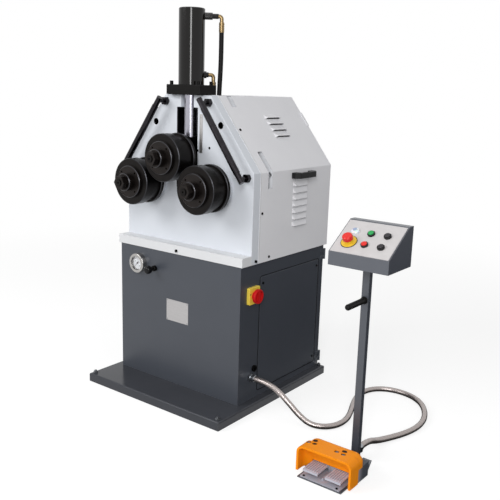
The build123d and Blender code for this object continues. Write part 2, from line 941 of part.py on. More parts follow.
def hood():
    inside_back = hood_back - hood_sheet
    shell = prism_y(hood_section(0), plate_back, hood_back)
    shell -= prism_y(hood_section(hood_sheet), plate_back - 1, inside_back)
    inner = plate_side - hood_sheet
    flange = block(-inner, inner, plate_back, inside_back, cabinet_top, cabinet_top + hood_sheet)
    flange -= block(
        hood_flange - plate_side, plate_side - hood_flange, plate_back - 1, hood_back - hood_flange,
        cabinet_top - 1, cabinet_top + hood_sheet + 1,
    )
    flange -= block(
        -plate_side, plate_side, rear_plate_front - hood_gap, rear_plate_back + hood_gap,
        cabinet_top - 1, cabinet_top + hood_sheet + 1,
    )
    shell += flange
    voids = lifting_slots()
    for place in hood_screw_places():
        voids.append(place * Cylinder(screw_diameter / 2 + hole_gap, 4 * hood_sheet))
    for place in louvre_places():
        skin, void = louvre_parts(place)
        shell += skin
        shell += mirrored(skin)
        voids.append(void)
    for void in voids:
        shell -= void
        shell -= mirrored(void)
    stop = Pos(0, 0, (hood_stop_rise - hood_sheet / 2) / 2) * Box(
        hood_stop_width, hood_stop_length, hood_stop_rise + hood_sheet / 2
    )
    stop = slope_place(hood_stop_run, hood_back - hood_stop_width / 2) * stop
    shell += stop
    shell += mirrored(stop)
    span = (crown_z - 2 * hood_sheet, crown_z + 1)
    for x, y in hose_places:
        shell -= rod_z(hose_diameter + 2 * hose_hole_gap, *span, x, y)
    rod_room = rod_diameter / 2 + hose_hole_gap
    shell -= block(-rod_room, rod_room, plate_back - 1, plate_middle + rod_room, *span)
    return shell


def hood_handles():
    foot = handle_foot
    reach = handle_reach
    inner = reach - handle_grip
    length = handle_length
    outer = [
        (0, 0), (foot, 0), (foot + inner / 2, inner), (length - foot - inner / 2, inner),
        (length - foot, 0), (length, 0), (length, reach / 2), (length - reach / 2, reach),
        (reach / 2, reach), (0, reach / 2),
    ]
    z = shoulder_z - handle_drop
    y = hood_back - handle_back_margin - length
    place = Plane(origin=(plate_side, y, z - handle_width / 2), x_dir=(0, 1, 0), z_dir=(0, 0, -1))
    handle = extrude(place * outline(outer), -handle_width)
    handle = fillet(handle.edges().filter_by(Axis.Z).group_by(Axis.X)[-1], reach / 4)
    return group(handle, mirrored(handle))


def side_bars():
    top = Vector(bar_top_x, 0, crown_z - bar_top_drop)
    bottom = Vector(bar_bottom_x, 0, shoulder_z - bar_bottom_drop)
    along = (bottom - top).normalized()
    length = (bottom - top).length
    axis_y = plate_front - bar_stand
    start = Plane(origin=(top.X, axis_y, top.Z), z_dir=along)
    bar = extrude(start * Circle(bar_end_diameter / 2), length)
    thick = extrude(start.offset(bar_end_length) * Circle(bar_diameter / 2), length - 2 * bar_end_length)
    bar += thick
    for run in (standoff_inset, length - standoff_inset):
        place = top + along * run
        nut_face = plate_front - standoff_nut_length
        bar += prism_y(Pos(place.X, place.Z) * hex_face(standoff_nut_flats), nut_face, plate_front)
        bar += rod_y(standoff_diameter, axis_y, nut_face, place.X, place.Z)
    return group(bar, mirrored(bar))


def blank_plates():
    data_z = cabinet_top - data_plate_drop
    data = block(
        data_plate_x - data_plate_width / 2, data_plate_x + data_plate_width / 2,
        cabinet_front - data_plate_thickness, cabinet_front,
        data_z - data_plate_height / 2, data_z + data_plate_height / 2,
    )
    scale_z = crown_z - scale_drop
    scale = block(
        scale_x - scale_width / 2, scale_x + scale_width / 2, plate_front - data_plate_thickness,
        plate_front,
        scale_z - scale_height / 2, scale_z + scale_height / 2,
    )
    return group(data, scale)


def slide_guides():
    wall = slide_slot_width / 2
    guide = block(
        wall - guide_thickness, wall, plate_front, plate_back,
        slot_bottom_z + guide_end_gap, slot_top_z - guide_end_gap,
    )
    return group(guide, mirrored(guide))


def slide_block():
    boss_front = plate_front - front_bearing_flange_thickness
    keeper_front = plate_back + keeper_gap
    keeper_back = keeper_front + keeper_thickness
    slide = block(-block_side, block_side, plate_front, keeper_front, block_bottom_z, block_top_z)
    half = keeper_width / 2
    slide += block(-half, half, keeper_front, keeper_back, block_bottom_z, block_top_z)
    slide += rod_y(slide_boss_diameter, boss_front, plate_front, 0, top_axle_z)
    slide += rod_y(rear_boss_diameter, keeper_back, keeper_back + rear_boss_length, 0, top_axle_z)
    pointer_z = top_axle_z + pointer_rise
    pointer_front = plate_front - pointer_thickness
    slide += block(
        block_side - pointer_width, block_side + pointer_reach,
        pointer_front - data_plate_thickness - sliding_gap,
        plate_front - data_plate_thickness - sliding_gap, pointer_z - pointer_width / 2,
        pointer_z + pointer_width / 2,
    )
    slide += block(
        block_side - pointer_width, block_side, pointer_front, plate_front,
        pointer_z - pointer_width / 2, pointer_z + pointer_width / 2,
    )
    slide -= rod_y(
        journal_diameter + 2 * running_gap, boss_front - 1, keeper_back + rear_boss_length + 1, 0,
        top_axle_z,
    )
    slide -= rod_z(
        rod_thread_diameter + 2 * running_gap, block_top_z - rod_thread_length, block_top_z + 1, 0,
        plate_middle
    )
    return slide


def piston_rod():
    rod = rod_z(rod_thread_diameter, block_top_z - rod_thread_length, block_top_z, 0, plate_middle)
    rod += rod_z(rod_diameter, block_top_z, piston_z, 0, plate_middle)
    rod += rod_z(piston_diameter, piston_z, piston_z + piston_length, 0, plate_middle)
    return rod


flange_bolt_places = corners(
    flange_width / 2 - flange_bolt_inset, flange_depth / 2 - flange_bolt_inset_y, 0, plate_middle
)


def cylinder_flange():
    middle_z = crown_z + flange_thickness / 2
    flange = Pos(0, plate_middle, middle_z) * Box(flange_width, flange_depth, flange_thickness)
    flange = chamfer(flange.edges().group_by(Axis.Z)[-1], plate_chamfer)
    flange -= rod_z(rod_diameter + 2 * running_gap, crown_z - 1, barrel_bottom_z + 1, 0, plate_middle)
    for x, y in flange_bolt_places:
        flange -= rod_z(
            flange_bolt_diameter + 2 * hole_gap, barrel_bottom_z - flange_bolt_length - 1,
            barrel_bottom_z + 1, x, y
        )
    return flange


def port_boss(angle, z, hex_end, end):
    # Hexagon and round nose of a port, pointing away from the barrel
    turn = math.radians(angle)
    way = (math.cos(turn), math.sin(turn), 0)
    start = barrel_diameter / 2 - port_sink
    place = Plane(origin=(0, plate_middle, z), x_dir=(0, 0, 1), z_dir=way)
    boss = extrude(place.offset(start) * hex_face(port_hex_flats), hex_end - start)
    return boss + extrude(place.offset(hex_end) * Circle(port_diameter / 2), end - hex_end)


def cylinder_barrel():
    barrel = rod_z(barrel_diameter, barrel_bottom_z, barrel_top_z, 0, plate_middle)
    barrel = chamfer(barrel.edges().group_by(Axis.Z)[-1], barrel_chamfer)
    barrel += port_boss(upper_port_angle, barrel_top_z - upper_port_drop, upper_port_hex_end, upper_port_end)
    lower_hex_end = (barrel_diameter / 2 + lower_port_end) / 2
    barrel += port_boss(lower_port_angle, barrel_bottom_z + lower_port_rise, lower_hex_end, lower_port_end)
    bore = piston_diameter + 2 * running_gap
    barrel -= rod_z(bore, barrel_bottom_z - 1, barrel_top_z - barrel_cap, 0, plate_middle)
    return barrel


upper_ferrule_z = barrel_top_z - upper_port_drop - ferrule_drop
lower_ferrule_z = barrel_bottom_z + lower_port_rise - lower_ferrule_drop


def elbow(angle, port_end, place, z, ferrule_z, length):
    # Bent tube from a port round to a crimped ferrule that points down
    x0, y0 = port_place(angle, port_end)
    route = FilletPolyline((x0, y0, z), (*place, z), (*place, ferrule_z), radius=elbow_bend)
    turn = math.radians(angle)
    start = Plane(origin=(x0, y0, z), z_dir=(math.cos(turn), math.sin(turn), 0))
    tube = sweep(start * Circle(elbow_diameter / 2), path=route)
    return tube + rod_z(ferrule_diameter, ferrule_z - length, ferrule_z, *place)


def hose_elbows():
    upper = elbow(
        upper_port_angle, upper_port_end, upper_elbow_place, barrel_top_z - upper_port_drop,
        upper_ferrule_z, ferrule_length,
    )
    lower = elbow(
        lower_port_angle, lower_port_end, lower_elbow_place, barrel_bottom_z + lower_port_rise,
        lower_ferrule_z, lower_ferrule_length,
    )
    return group(upper, lower)


def hydraulic_hoses():
    top = upper_ferrule_z - ferrule_length
    x, y = upper_elbow_place
    points = [
        Vector(x, y, top), Vector(x, y, (top + crown_z) / 2),
        Vector(upper_hose_x, upper_hose_y, crown_z - hood_sheet),
        Vector(upper_hose_x, upper_hose_y, manifold_top_z),
    ]
    route = FilletPolyline(*points, radius=corner_radii(points))
    upper = sweep(Plane(origin=points[0], z_dir=(0, 0, -1)) * Circle(hose_diameter / 2), path=route)
    lower = rod_z(hose_diameter, manifold_top_z, lower_ferrule_z - lower_ferrule_length, *lower_elbow_place)
    return group(upper, lower)


def corner_radii(points):
    # The largest even bend at each corner of a route:
    # 0.45 of its shorter run over the tangent of half the turn
    radii = []
    for before, corner, after in zip(points, points[1:], points[2:]):
        arriving = corner - before
        leaving = after - corner
        half_turn = math.radians(arriving.get_angle(leaving)) / 2
        radii.append(0.45 * min(arriving.length, leaving.length) / math.tan(half_turn))
    return radii


def roll(x, z):
    groove_diameter = roll_diameter - 2 * roll_groove_depth
    front_edge = roll_front + roll_front_disc
    rear_edge = roll_back - roll_rear_disc
    body = turned(x, z, [
        (roll_diameter, roll_front, front_edge),
        (groove_diameter, front_edge, rear_edge),
        (roll_diameter, rear_edge, roll_back),
    ])
    circles = body.edges().filter_by(GeomType.CIRCLE)
    rims = [edge for edge in circles if abs(edge.radius - roll_diameter / 2) < 0.01]
    body = chamfer(rims, roll_chamfer)
    return body - rod_y(seat_diameter + 2 * running_gap, roll_front - 1, roll_back + 1, x, z)


def clamp(x, z):
    # Clamp flange, spacer sleeve and nut that hold a roll on its shaft
    bore = seat_diameter + 2 * running_gap
    flange = rod_y(clamp_diameter, clamp_front, roll_front, x, z)
    flange = chamfer(flange.edges().group_by(Axis.Y)[0], roll_chamfer)
    flange -= rod_y(bore, clamp_front - 1, roll_front + 1, x, z)
    for i in range(clamp_hole_count):
        turn = 2 * math.pi * (i + 0.5) / clamp_hole_count
        hole_x = x + clamp_hole_circle / 2 * math.cos(turn)
        hole_z = z + clamp_hole_circle / 2 * math.sin(turn)
        flange -= rod_y(clamp_hole_diameter, clamp_front - 1, roll_front + 1, hole_x, hole_z)
    sleeve = rod_y(sleeve_diameter, sleeve_front, clamp_front, x, z)
    sleeve = chamfer(sleeve.edges().group_by(Axis.Y)[0], roll_chamfer)
    sleeve -= rod_y(bore, sleeve_front - 1, clamp_front + 1, x, z)
    nut = prism_y(Pos(x, z) * hex_face(nut_flats), nut_front, sleeve_front)
    nut -= rod_y(thread_diameter + 2 * running_gap, nut_front - 1, sleeve_front + 1, x, z)
    return group(flange, sleeve, nut)


def shaft(x, z, tail):
    # Roll shaft from its front stub to the tail steps behind the journal
    seat_front = sleeve_front + seat_recess
    body = turned(x, z, [
        (stub_diameter, nut_front - stub_length, nut_front),
        (thread_diameter, nut_front, seat_front),
        (seat_diameter, seat_front, roll_back),
        (shoulder_diameter, roll_back, shoulder_back),
        *tail,
    ])
    front = nut_front - stub_length
    return body - rod_y(centre_hole_diameter, front - 1, front + centre_hole_depth, x, z)


def lower_shaft(x):
    return shaft(x, axle_z, [
        (journal_diameter, shoulder_back, gear_front),
        (seat_diameter, gear_front, gear_back + gear_seat_end),
    ])


def top_shaft():
    back = plate_back + keeper_gap + keeper_thickness + rear_boss_length
    return shaft(0, top_axle_z, [(journal_diameter, shoulder_back, back)])


def shaft_bearings():
    housings = []
    for x in (-axle_x, axle_x):
        front_face = plate_front - front_bearing_flange_thickness
        front = rod_y(front_bearing_flange, front_face, plate_front, x, axle_z)
        front = chamfer(front.edges().group_by(Axis.Y)[0], roll_chamfer)
        front += rod_y(front_bearing_neck, plate_front, plate_back, x, axle_z)
        rear_face = rear_plate_front - rear_bearing_flange_thickness
        rear = rod_y(rear_bearing_flange, rear_face, rear_plate_front, x, axle_z)
        rear += rod_y(rear_bearing_neck, rear_plate_front, rear_plate_back, x, axle_z)
        bore = rod_y(journal_diameter + 2 * running_gap, front_face - 1, rear_plate_back + 1, x, axle_z)
        housings += [front - bore, rear - bore]
    bush = rod_y(pinion_bush_diameter, rear_plate_front, rear_plate_back, 0, axle_z)
    bush -= rod_y(
        pinion_shaft_diameter + 2 * running_gap, rear_plate_front - 1, rear_plate_back + 1, 0, axle_z
    )
    return group(*housings, bush)


def tooth_outline(teeth, turn):
    # Involute spur teeth, each flank drawn from root to pitch to tip
    pressure = math.radians(pressure_angle)
    pitch_radius = gear_module * teeth / 2
    base_radius = pitch_radius * math.cos(pressure)
    radii = [pitch_radius - 1.25 * gear_module, pitch_radius, pitch_radius + gear_module]
    half_pitch_tooth = math.pi / (2 * teeth) - tooth_play / (4 * pitch_radius)
    half_angles = []
    for radius in radii:
        slant = math.acos(min(1, base_radius / radius))
        involute_change = math.tan(pressure) - pressure - (math.tan(slant) - slant)
        half_angles.append(half_pitch_tooth + involute_change)
    points = []
    for i in range(teeth):
        middle = turn + 2 * math.pi * i / teeth
        rising = [(radius, middle - half) for radius, half in zip(radii, half_angles)]
        falling = [(radius, middle + half) for radius, half in zip(radii, half_angles)]
        for radius, angle in rising + falling[::-1]:
            points.append((radius * math.cos(angle), radius * math.sin(angle)))
    return outline(points)


def roll_gear(x, turn):
    gear = prism_y(Pos(x, axle_z) * tooth_outline(gear_teeth, turn), gear_front, gear_back)
    web_outer = gear_module * (gear_teeth - 2.5) - 2 * gear_rim
    web = Circle(web_outer / 2) - Circle(gear_hub_diameter / 2)
    gear -= prism_y(Pos(x, axle_z) * web, gear_front - 1, gear_front + gear_web_recess)
    gear -= prism_y(Pos(x, axle_z) * web, gear_back - gear_web_recess, gear_back + 1)
    return gear - rod_y(seat_diameter + 2 * running_gap, gear_front - 1, gear_back + 1, x, axle_z)


def drive_pinion():
    pinion = prism_y(Pos(0, axle_z) * tooth_outline(pinion_teeth, 0), gear_front, gear_back)
    pinion += rod_y(pinion_shaft_diameter, rear_plate_front, gearbox_front + pinion_shaft_seat, 0, axle_z)
    return pinion


def gearmotor():
    half = gearbox_width / 2
    bottom = axle_z - gearbox_height / 2
    back = gearbox_front + gearbox_length
    motor_back = back + motor_length
    body = block(-half, half, gearbox_front, back, bottom, axle_z + gearbox_height / 2)
    body = fillet(body.edges().filter_by(Axis.Y), gearbox_edge)
    body += rod_y(motor_diameter, back, motor_back - motor_cowl_length, 0, axle_z)
    body += rod_y(motor_cowl_diameter, motor_back - motor_cowl_length, motor_back, 0, axle_z)
    box_bottom = axle_z + motor_diameter / 2
    box_front = back + gearbox_edge
    body += block(
        -terminal_box_width / 2, terminal_box_width / 2, box_front, box_front + terminal_box_length,
        axle_z, box_bottom + terminal_box_height,
    )
    body += block(
        -pedestal_width / 2, pedestal_width / 2, gearbox_front + gearbox_edge, back - gearbox_edge,
        cabinet_top, bottom + gearbox_edge,
    )
    bore_end = gearbox_front + pinion_shaft_seat + sliding_gap
    return body - rod_y(pinion_shaft_diameter + 2 * running_gap, gearbox_front - 1, bore_end, 0, axle_z)


def hydraulic_unit():
    tank_top = tray_height + tank_height
    lid_top = tank_top + tank_lid
    left = tank_centre_x - tank_width / 2
    right = tank_centre_x + tank_width / 2
    unit = block(left, right, tank_front, tank_front + tank_depth, tray_height, tank_top)
    unit = fillet(unit.edges().filter_by(Axis.Z), tank_edge)
    lid = block(left, right, tank_front, tank_front + tank_depth, tank_top, lid_top)
    unit += lid
    middle_x = (upper_hose_x + lower_elbow_place[0]) / 2
    middle_y = (upper_hose_y + lower_elbow_place[1]) / 2
    manifold = Pos(middle_x, middle_y, lid_top + manifold_height / 2) * Box(
        manifold_width, manifold_depth, manifold_height
    )
    unit += chamfer(manifold.edges().filter_by(Axis.Z), manifold_edge)
    motor = (tank_centre_x + pump_motor_offset, tank_front + pump_motor_setback)
    filler = (tank_centre_x + filler_offset, tank_front + filler_setback)
    unit += rod_z(pump_motor_diameter, lid_top, lid_top + pump_motor_height, *motor)
    unit += rod_z(filler_diameter, lid_top, lid_top + filler_height, *filler)
    oil = block(
        left + tank_wall, right - tank_wall, tank_front + tank_wall, tank_front + tank_depth - tank_wall,
        tray_height + tank_wall, tank_top,
    )
    unit -= fillet(oil.edges().filter_by(Axis.Z), max(tank_edge - tank_wall, 1))
    return unit - rod_z(filler_bore, tank_top - 1, lid_top + filler_height + 1, *filler)


gauge_z = cabinet_top - gauge_drop
gauge_dial = cabinet_front - gauge_back
gauge_face = cabinet_front - gauge_depth
lens_back = gauge_face + gauge_lens_set + gauge_lens_thickness
lens_diameter = gauge_diameter - 2 * gauge_rim


def gauge_case():
    case = rod_y(gauge_diameter, gauge_face, cabinet_front, gauge_x, gauge_z)
    case = fillet(case.edges().group_by(Axis.Y)[0], gauge_edge)
    case -= rod_y(lens_diameter, gauge_face - 1, lens_back, gauge_x, gauge_z)
    case -= rod_y(lens_diameter - 2 * gauge_seat, lens_back - 1, gauge_dial, gauge_x, gauge_z)
    case += rod_y(gauge_stem_diameter, cabinet_front, cabinet_front + gauge_stem_length, gauge_x, gauge_z)
    pin_hole = needle_pin_diameter + 2 * running_gap
    return case - rod_y(
        pin_hole, gauge_dial - 1, gauge_dial + needle_pin_length + sliding_gap, gauge_x, gauge_z
    )


def gauge_needle():
    back = gauge_dial - needle_lift
    turn = math.radians(needle_zero_angle)
    tip = (needle_length * math.cos(turn), needle_length * math.sin(turn))
    tail = (-needle_tail * math.cos(turn), -needle_tail * math.sin(turn))
    side = (-needle_width / 2 * math.sin(turn), needle_width / 2 * math.cos(turn))
    blade = outline([
        tip, (tail[0] + side[0], tail[1] + side[1]), (tail[0] - side[0], tail[1] - side[1]),
    ])
    needle = prism_y(Pos(gauge_x, gauge_z) * blade, back - needle_thickness, back)
    needle += rod_y(needle_hub, back - needle_hub_height, back, gauge_x, gauge_z)
    return needle + rod_y(needle_pin_diameter, back, gauge_dial + needle_pin_length, gauge_x, gauge_z)


def gauge_lens():
    return rod_y(
        lens_diameter - 2 * running_gap, lens_back - gauge_lens_thickness, lens_back, gauge_x, gauge_z
    )


def valve_knob():
    back = cabinet_front - valve_knob_stand
    front = back - valve_knob_length
    z = cabinet_top - valve_drop
    knob = rod_y(valve_knob_diameter, front, back, valve_x, z)
    knob = fillet(knob.edges().group_by(Axis.Y)[0], valve_knob_front_edge)
    knob = fillet(knob.edges().group_by(Axis.Y)[-1], valve_knob_back_edge)
    for i in range(valve_knob_lobes):
        turn = 2 * math.pi * i / valve_knob_lobes
        reach = valve_knob_diameter / 2 + valve_knob_lobe_diameter / 4
        lobe_x = valve_x + reach * math.cos(turn)
        knob -= rod_y(valve_knob_lobe_diameter, front - 1, back + 1, lobe_x, z + reach * math.sin(turn))
    return knob + rod_y(valve_stem_diameter, back, cabinet_front, valve_x, z)


def main_switch_plate():
    face = RectangleRounded(switch_plate_size, switch_plate_size, switch_plate_corner)
    plate = extrude(Plane.YZ.offset(cabinet_side) * Pos(switch_y, switch_z) * face, switch_plate_thickness)
    plate = chamfer(plate.edges().group_by(Axis.X)[-1], plate_chamfer)
    outer = cabinet_side + switch_plate_thickness
    stem = switch_stem_diameter + 2 * running_gap
    return plate - rod_x(stem, outer - switch_stem_length - sliding_gap, outer + 1, switch_y, switch_z)


def main_switch_knob():
    base = cabinet_side + switch_plate_thickness + sliding_gap
    top = base + switch_knob_height
    half = switch_knob_diameter / 2
    grip_half = switch_grip_width / 2
    knob = rod_x(switch_knob_diameter, top - switch_knob_thickness, top, switch_y, switch_z)
    knob = fillet(knob.edges().group_by(Axis.X)[-1], switch_knob_edge)
    knob += rod_x(switch_neck_diameter, base, top - switch_knob_thickness, switch_y, switch_z)
    inner = switch_knob_diameter - 2 * switch_knob_wall
    recess = rod_x(inner, top - switch_recess_depth, top + 1, switch_y, switch_z)
    recess -= block(
        base, top + 2, switch_y - grip_half, switch_y + grip_half, switch_z - half, switch_z + half
    )
    knob -= recess
    stem_end = base - sliding_gap - switch_stem_length
    return knob + rod_x(switch_stem_diameter, stem_end, base, switch_y, switch_z)


def panel_plugs():
    z = cabinet_top - valve_drop
    collar = rod_y(valve_collar_diameter, cabinet_front - valve_collar_length, cabinet_front, valve_x, z)
    collar = chamfer(collar.edges().group_by(Axis.Y)[0], plate_chamfer)
    stem_hole = valve_stem_diameter + 2 * running_gap
    collar -= rod_y(stem_hole, cabinet_front - valve_collar_length - 1, cabinet_front + 1, valve_x, z)
    plug_y = cabinet_front + plug_setback
    plug_z = tray_height + plug_rise
    plug = rod_x(plug_diameter, cabinet_side, cabinet_side + plug_height, plug_y, plug_z)
    plug = fillet(plug.edges().group_by(Axis.X)[-1], plate_chamfer)
    plug += rod_x(plug_spigot_diameter, cabinet_side - plug_spigot_length, cabinet_side, plug_y, plug_z)
    return group(collar, plug)


def screw(place, head_diameter=screw_head_diameter):
    # Round-headed screw with its head on the plane and its shank below
    head = Pos(0, 0, screw_head_height / 2) * Cylinder(head_diameter / 2, screw_head_height)
    head = fillet(head.edges().group_by(Axis.Z)[-1], screw_head_height / 2)
    return place * (head + Pos(0, 0, -screw_length / 2) * Cylinder(screw_diameter / 2, screw_length))


def cap_bolt(place, diameter, head, head_height, length):
    # Cap-head bolt with its head on the plane, a hexagon socket in the head and its shank below
    bolt = extrude(Circle(head / 2), head_height)
    bolt = chamfer(bolt.edges().group_by(Axis.Z)[-1], cap_edge)
    bolt += extrude(Circle(diameter / 2), -length)
    bolt -= Pos(0, 0, head_height / 2) * extrude(hex_face(bolt_socket_share * diameter), head_height)
    return place * bolt


tray_screw_places = [
    (
        foot_plate_x + side * (pedal_tray_width / 2 - tray_screw_inset_x),
        foot_plate_y + pedal_tray_inset + tray_screw_inset_y,
    )
    for side in (-1, 1)
]


def black_bolts():
    bolts = []
    for y, z in panel_screw_places:
        bolts.append(screw(Plane.YZ.offset(cabinet_side + side_panel_sheet) * Pos(y, z)))
    for place in hood_screw_places():
        bolts.append(screw(place))
        bolts.append(mirrored(screw(place)))
    ledge_front = cabinet_front - ledge_overhang
    z = cabinet_top + ledge_bolt_rise
    small = (ledge_bolt_diameter, ledge_bolt_head, ledge_bolt_head_height, ledge_bolt_length)
    bolts.append(cap_bolt(Plane(origin=(0, ledge_front, z), z_dir=(0, -1, 0)), *small))
    plate_bolt = cap_bolt(
        side_place(plate_front + plate_bolt_setback, cabinet_top + plate_bolt_rise), *small
    )
    bolts += [plate_bolt, mirrored(plate_bolt)]
    large = (flange_bolt_diameter, flange_bolt_head, flange_bolt_head_height, flange_bolt_length)
    for x, y in flange_bolt_places:
        bolts.append(cap_bolt(Pos(x, y, barrel_bottom_z), *large))
    for x, y in tray_screw_places:
        bolts.append(screw(Pos(x, y, pedal_tray_top), tray_screw_head))
    return group(*bolts)


def gland(place, nut_length):
    # Cable gland that stands out of a wall: thread inside, hexagon, then the cap nut
    hexagon = extrude(hex_face(gland_hex_flats), gland_hex_length)
    nut = Pos(0, 0, gland_hex_length) * extrude(Circle(gland_nut_diameter / 2), nut_length)
    nut = chamfer(nut.edges().group_by(Axis.Z)[-1], plate_chamfer)
    thread = extrude(Circle(gland_thread_diameter / 2), -gland_thread_length)
    return place * (hexagon + nut + thread)


def conduit_glands():
    cabinet_place = Plane(
        origin=(cabinet_side, cabinet_front + gland_setback, tray_height + gland_rise), z_dir=(1, 0, 0)
    )
    stand_place = Plane(origin=(post_x, post_back, stand_gland_height), z_dir=(0, 1, 0))
    return group(gland(cabinet_place, gland_nut_length), gland(stand_place, stand_gland_nut_length))


def conduit_points():
    # The route from gland mouth to gland mouth, with any rest of its depth spread between the straight ends
    start = (
        cabinet_side + gland_hex_length + gland_nut_length, cabinet_front + gland_setback,
        tray_height + gland_rise,
    )
    end = (post_x, post_back + gland_hex_length + stand_gland_nut_length, stand_gland_height)
    reach = end[0] - start[0]
    rest = conduit_diameter / 2 + conduit_floor_gap
    last = len(conduit_route) - 1
    drift = end[1] - start[1] - conduit_route[last][1] * reach
    points = []
    for i, (across, back, up) in enumerate(conduit_route):
        share = min(max((i - 1) / (last - 2), 0), 1)
        gland_z = start[2] if i < last / 2 else end[2]
        points.append(
            Vector(
                start[0] + across * reach, start[1] + back * reach + share * drift,
                rest + up * (gland_z - rest),
            )
        )
    return points


def conduit():
    points = conduit_points()
    radii = corner_radii(points)
    path = FilletPolyline(*points, radius=radii)
    start = Plane(origin=points[0], z_dir=points[1] - points[0])
    tube = sweep(start * Circle(conduit_diameter / 2), path=path)
    section = math.pi * conduit_diameter**2 / 4
    print("conduit radii", [round(radius) for radius in radii])
    ratio = tube.volume / (section * path.length)
    print("conduit length", round(path.length), "volume ratio", round(ratio, 4))
    return tube


def stand_frame():
    half = foot_plate_width / 2
    left = foot_plate_x - half
    right = foot_plate_x + half
    tongue_left = post_x - tongue_width / 2
    tongue_right = post_x + tongue_width / 2
    plate = foot_plate_thickness
    frame = block(left, right, foot_plate_y, foot_plate_back, 0, plate)
    frame += block(tongue_left, tongue_right, foot_plate_back, post_back + tongue_reach, 0, plate)
    ear_length = math.hypot(ear_reach, ear_rise)
    across = (plate * ear_rise / ear_length, plate * ear_reach / ear_length)
    ear = [
        (foot_plate_back, 0), (foot_plate_back + ear_reach + across[0], ear_rise),
        (foot_plate_back + ear_reach, ear_rise + across[1]), (foot_plate_back - across[0] / 2, plate),
    ]
    frame += prism_x(ear, left, tongue_left - ear_gap)
    frame += prism_x(ear, tongue_right + ear_gap, right)
    width = post_width / 2
    wall = width - post_wall
    post = block(post_x - width, post_x + width, post_front, post_back, plate, post_top)
    post = fillet(post.edges().filter_by(Axis.Z), post_wall)
    post -= block(
        post_x - wall, post_x + wall, post_front + post_wall, post_back - post_wall,
        plate + post_wall, post_top + 1
    )
    post -= rod_y(
        gland_thread_diameter + 2 * hole_gap, post_back - 2 * post_wall, post_back + 1, post_x,
        stand_gland_height
    )
    for x, y in tray_screw_places:
        frame -= rod_z(screw_diameter + 2 * hole_gap, -1, plate + 1, x, y)
    grip_z = foot_plate_thickness + grip_height
    post += rod_y(
        grip_core_diameter, post_front - grip_core_length, post_front + post_wall / 2, post_x, grip_z
    )
    return frame + post


def stand_grip():
    back = post_front - grip_gap
    front = back - grip_length
    z = foot_plate_thickness + grip_height
    grip = rod_y(grip_diameter, front, back - grip_collar_length, post_x, z)
    grip = fillet(grip.edges().group_by(Axis.Y)[0], grip_diameter / 2 - 1)
    grip += rod_y(grip_collar_diameter, back - grip_collar_length, back, post_x, z)
    core = grip_core_diameter + 2 * running_gap
    return grip - rod_y(core, post_front - grip_core_length - sliding_gap, back + 1, post_x, z)


control_places = {
    "power_lamp": (control_across[0], lamp_up),
    "estop_button": (control_across[0], estop_up),
    "start_button": (control_across[1], button_upper_up),
    "stop_button": (control_across[1], button_lower_up),
    "upper_button": (control_across[2], button_upper_up),
    "lower_button": (control_across[2], button_lower_up),
}
panel_top = console_panel_thickness


def on_panel(name, height):
    # Frame at a control, at this height over the console's slope
    return panel_plane * Pos(*control_places[name], height)


def console_box():
    left = post_x - console_width / 2
    right = post_x + console_width / 2
    top = console_lip_z + console_panel_rise
    face = outline([
        (console_front_y, post_top), (console_front_y, console_lip_z),
        (console_front_y + console_panel_run, top), (post_y + console_back, top),
        (post_y + console_back, post_top),
    ])
    inner = offset(face, -console_sheet, kind=Kind.INTERSECTION)
    box = extrude(Plane.YZ.offset(left) * face, console_width)
    box -= extrude(Plane.YZ.offset(left + console_sheet) * inner, console_width - 2 * console_sheet)
    wall = post_width / 2 - post_wall
    box -= block(
        post_x - wall, post_x + wall, post_front + post_wall, post_back - post_wall,
        post_top - 1, post_top + 2 * console_sheet,
    )
    for name in control_places:
        box -= on_panel(name, 0) * Cylinder(housing_diameter / 2 + hole_gap, 4 * console_sheet)
    return box


def console_panel():
    across = console_width - 2 * console_panel_margin
    up = panel_length - console_panel_top_margin - console_panel_low_margin
    middle = console_panel_low_margin + up / 2
    panel = panel_plane * Pos(console_width / 2, middle, console_panel_thickness / 2) * Box(
        across, up, console_panel_thickness
    )
    for name in control_places:
        panel -= on_panel(name, 0) * Cylinder(housing_diameter / 2 + hole_gap, 4 * console_panel_thickness)
    return panel


def button_bezels():
    bezels = []
    for name in control_places:
        if name in ("estop_button", "power_lamp"):
            continue
        bezel = extrude(Circle(bezel_diameter / 2), bezel_height)
        bezel = chamfer(bezel.edges().group_by(Axis.Z)[-1], cap_edge)
        recess = cap_diameter / 2 + sliding_gap
        bezel -= Pos(0, 0, bezel_floor) * extrude(Circle(recess), bezel_height)
        bezel += extrude(Circle(housing_diameter / 2), -housing_length)
        bore = cap_stem_diameter / 2 + sliding_gap
        bezel -= Pos(0, 0, bezel_floor + 1) * extrude(Circle(bore), -housing_length - bezel_floor)
        bezels.append(on_panel(name, panel_top) * bezel)
    return group(*bezels)


def push_button(name):
    cap = Pos(0, 0, cap_top - cap_thickness) * extrude(Circle(cap_diameter / 2), cap_thickness)
    cap = fillet(cap.edges().group_by(Axis.Z)[-1], cap_edge)
    stem_top = cap_top - cap_thickness
    cap += Pos(0, 0, stem_top) * extrude(Circle(cap_stem_diameter / 2), -cap_stem_length)
    return on_panel(name, panel_top) * cap


def power_lamp():
    lamp = extrude(Circle(bezel_diameter / 2), bezel_height)
    lamp = chamfer(lamp.edges().group_by(Axis.Z)[-1], cap_edge)
    lens = extrude(Circle(cap_diameter / 2), lamp_top)
    lamp += fillet(lens.edges().group_by(Axis.Z)[-1], lamp_edge)
    lamp += extrude(Circle(housing_diameter / 2), -housing_length)
    return on_panel("power_lamp", panel_top) * lamp


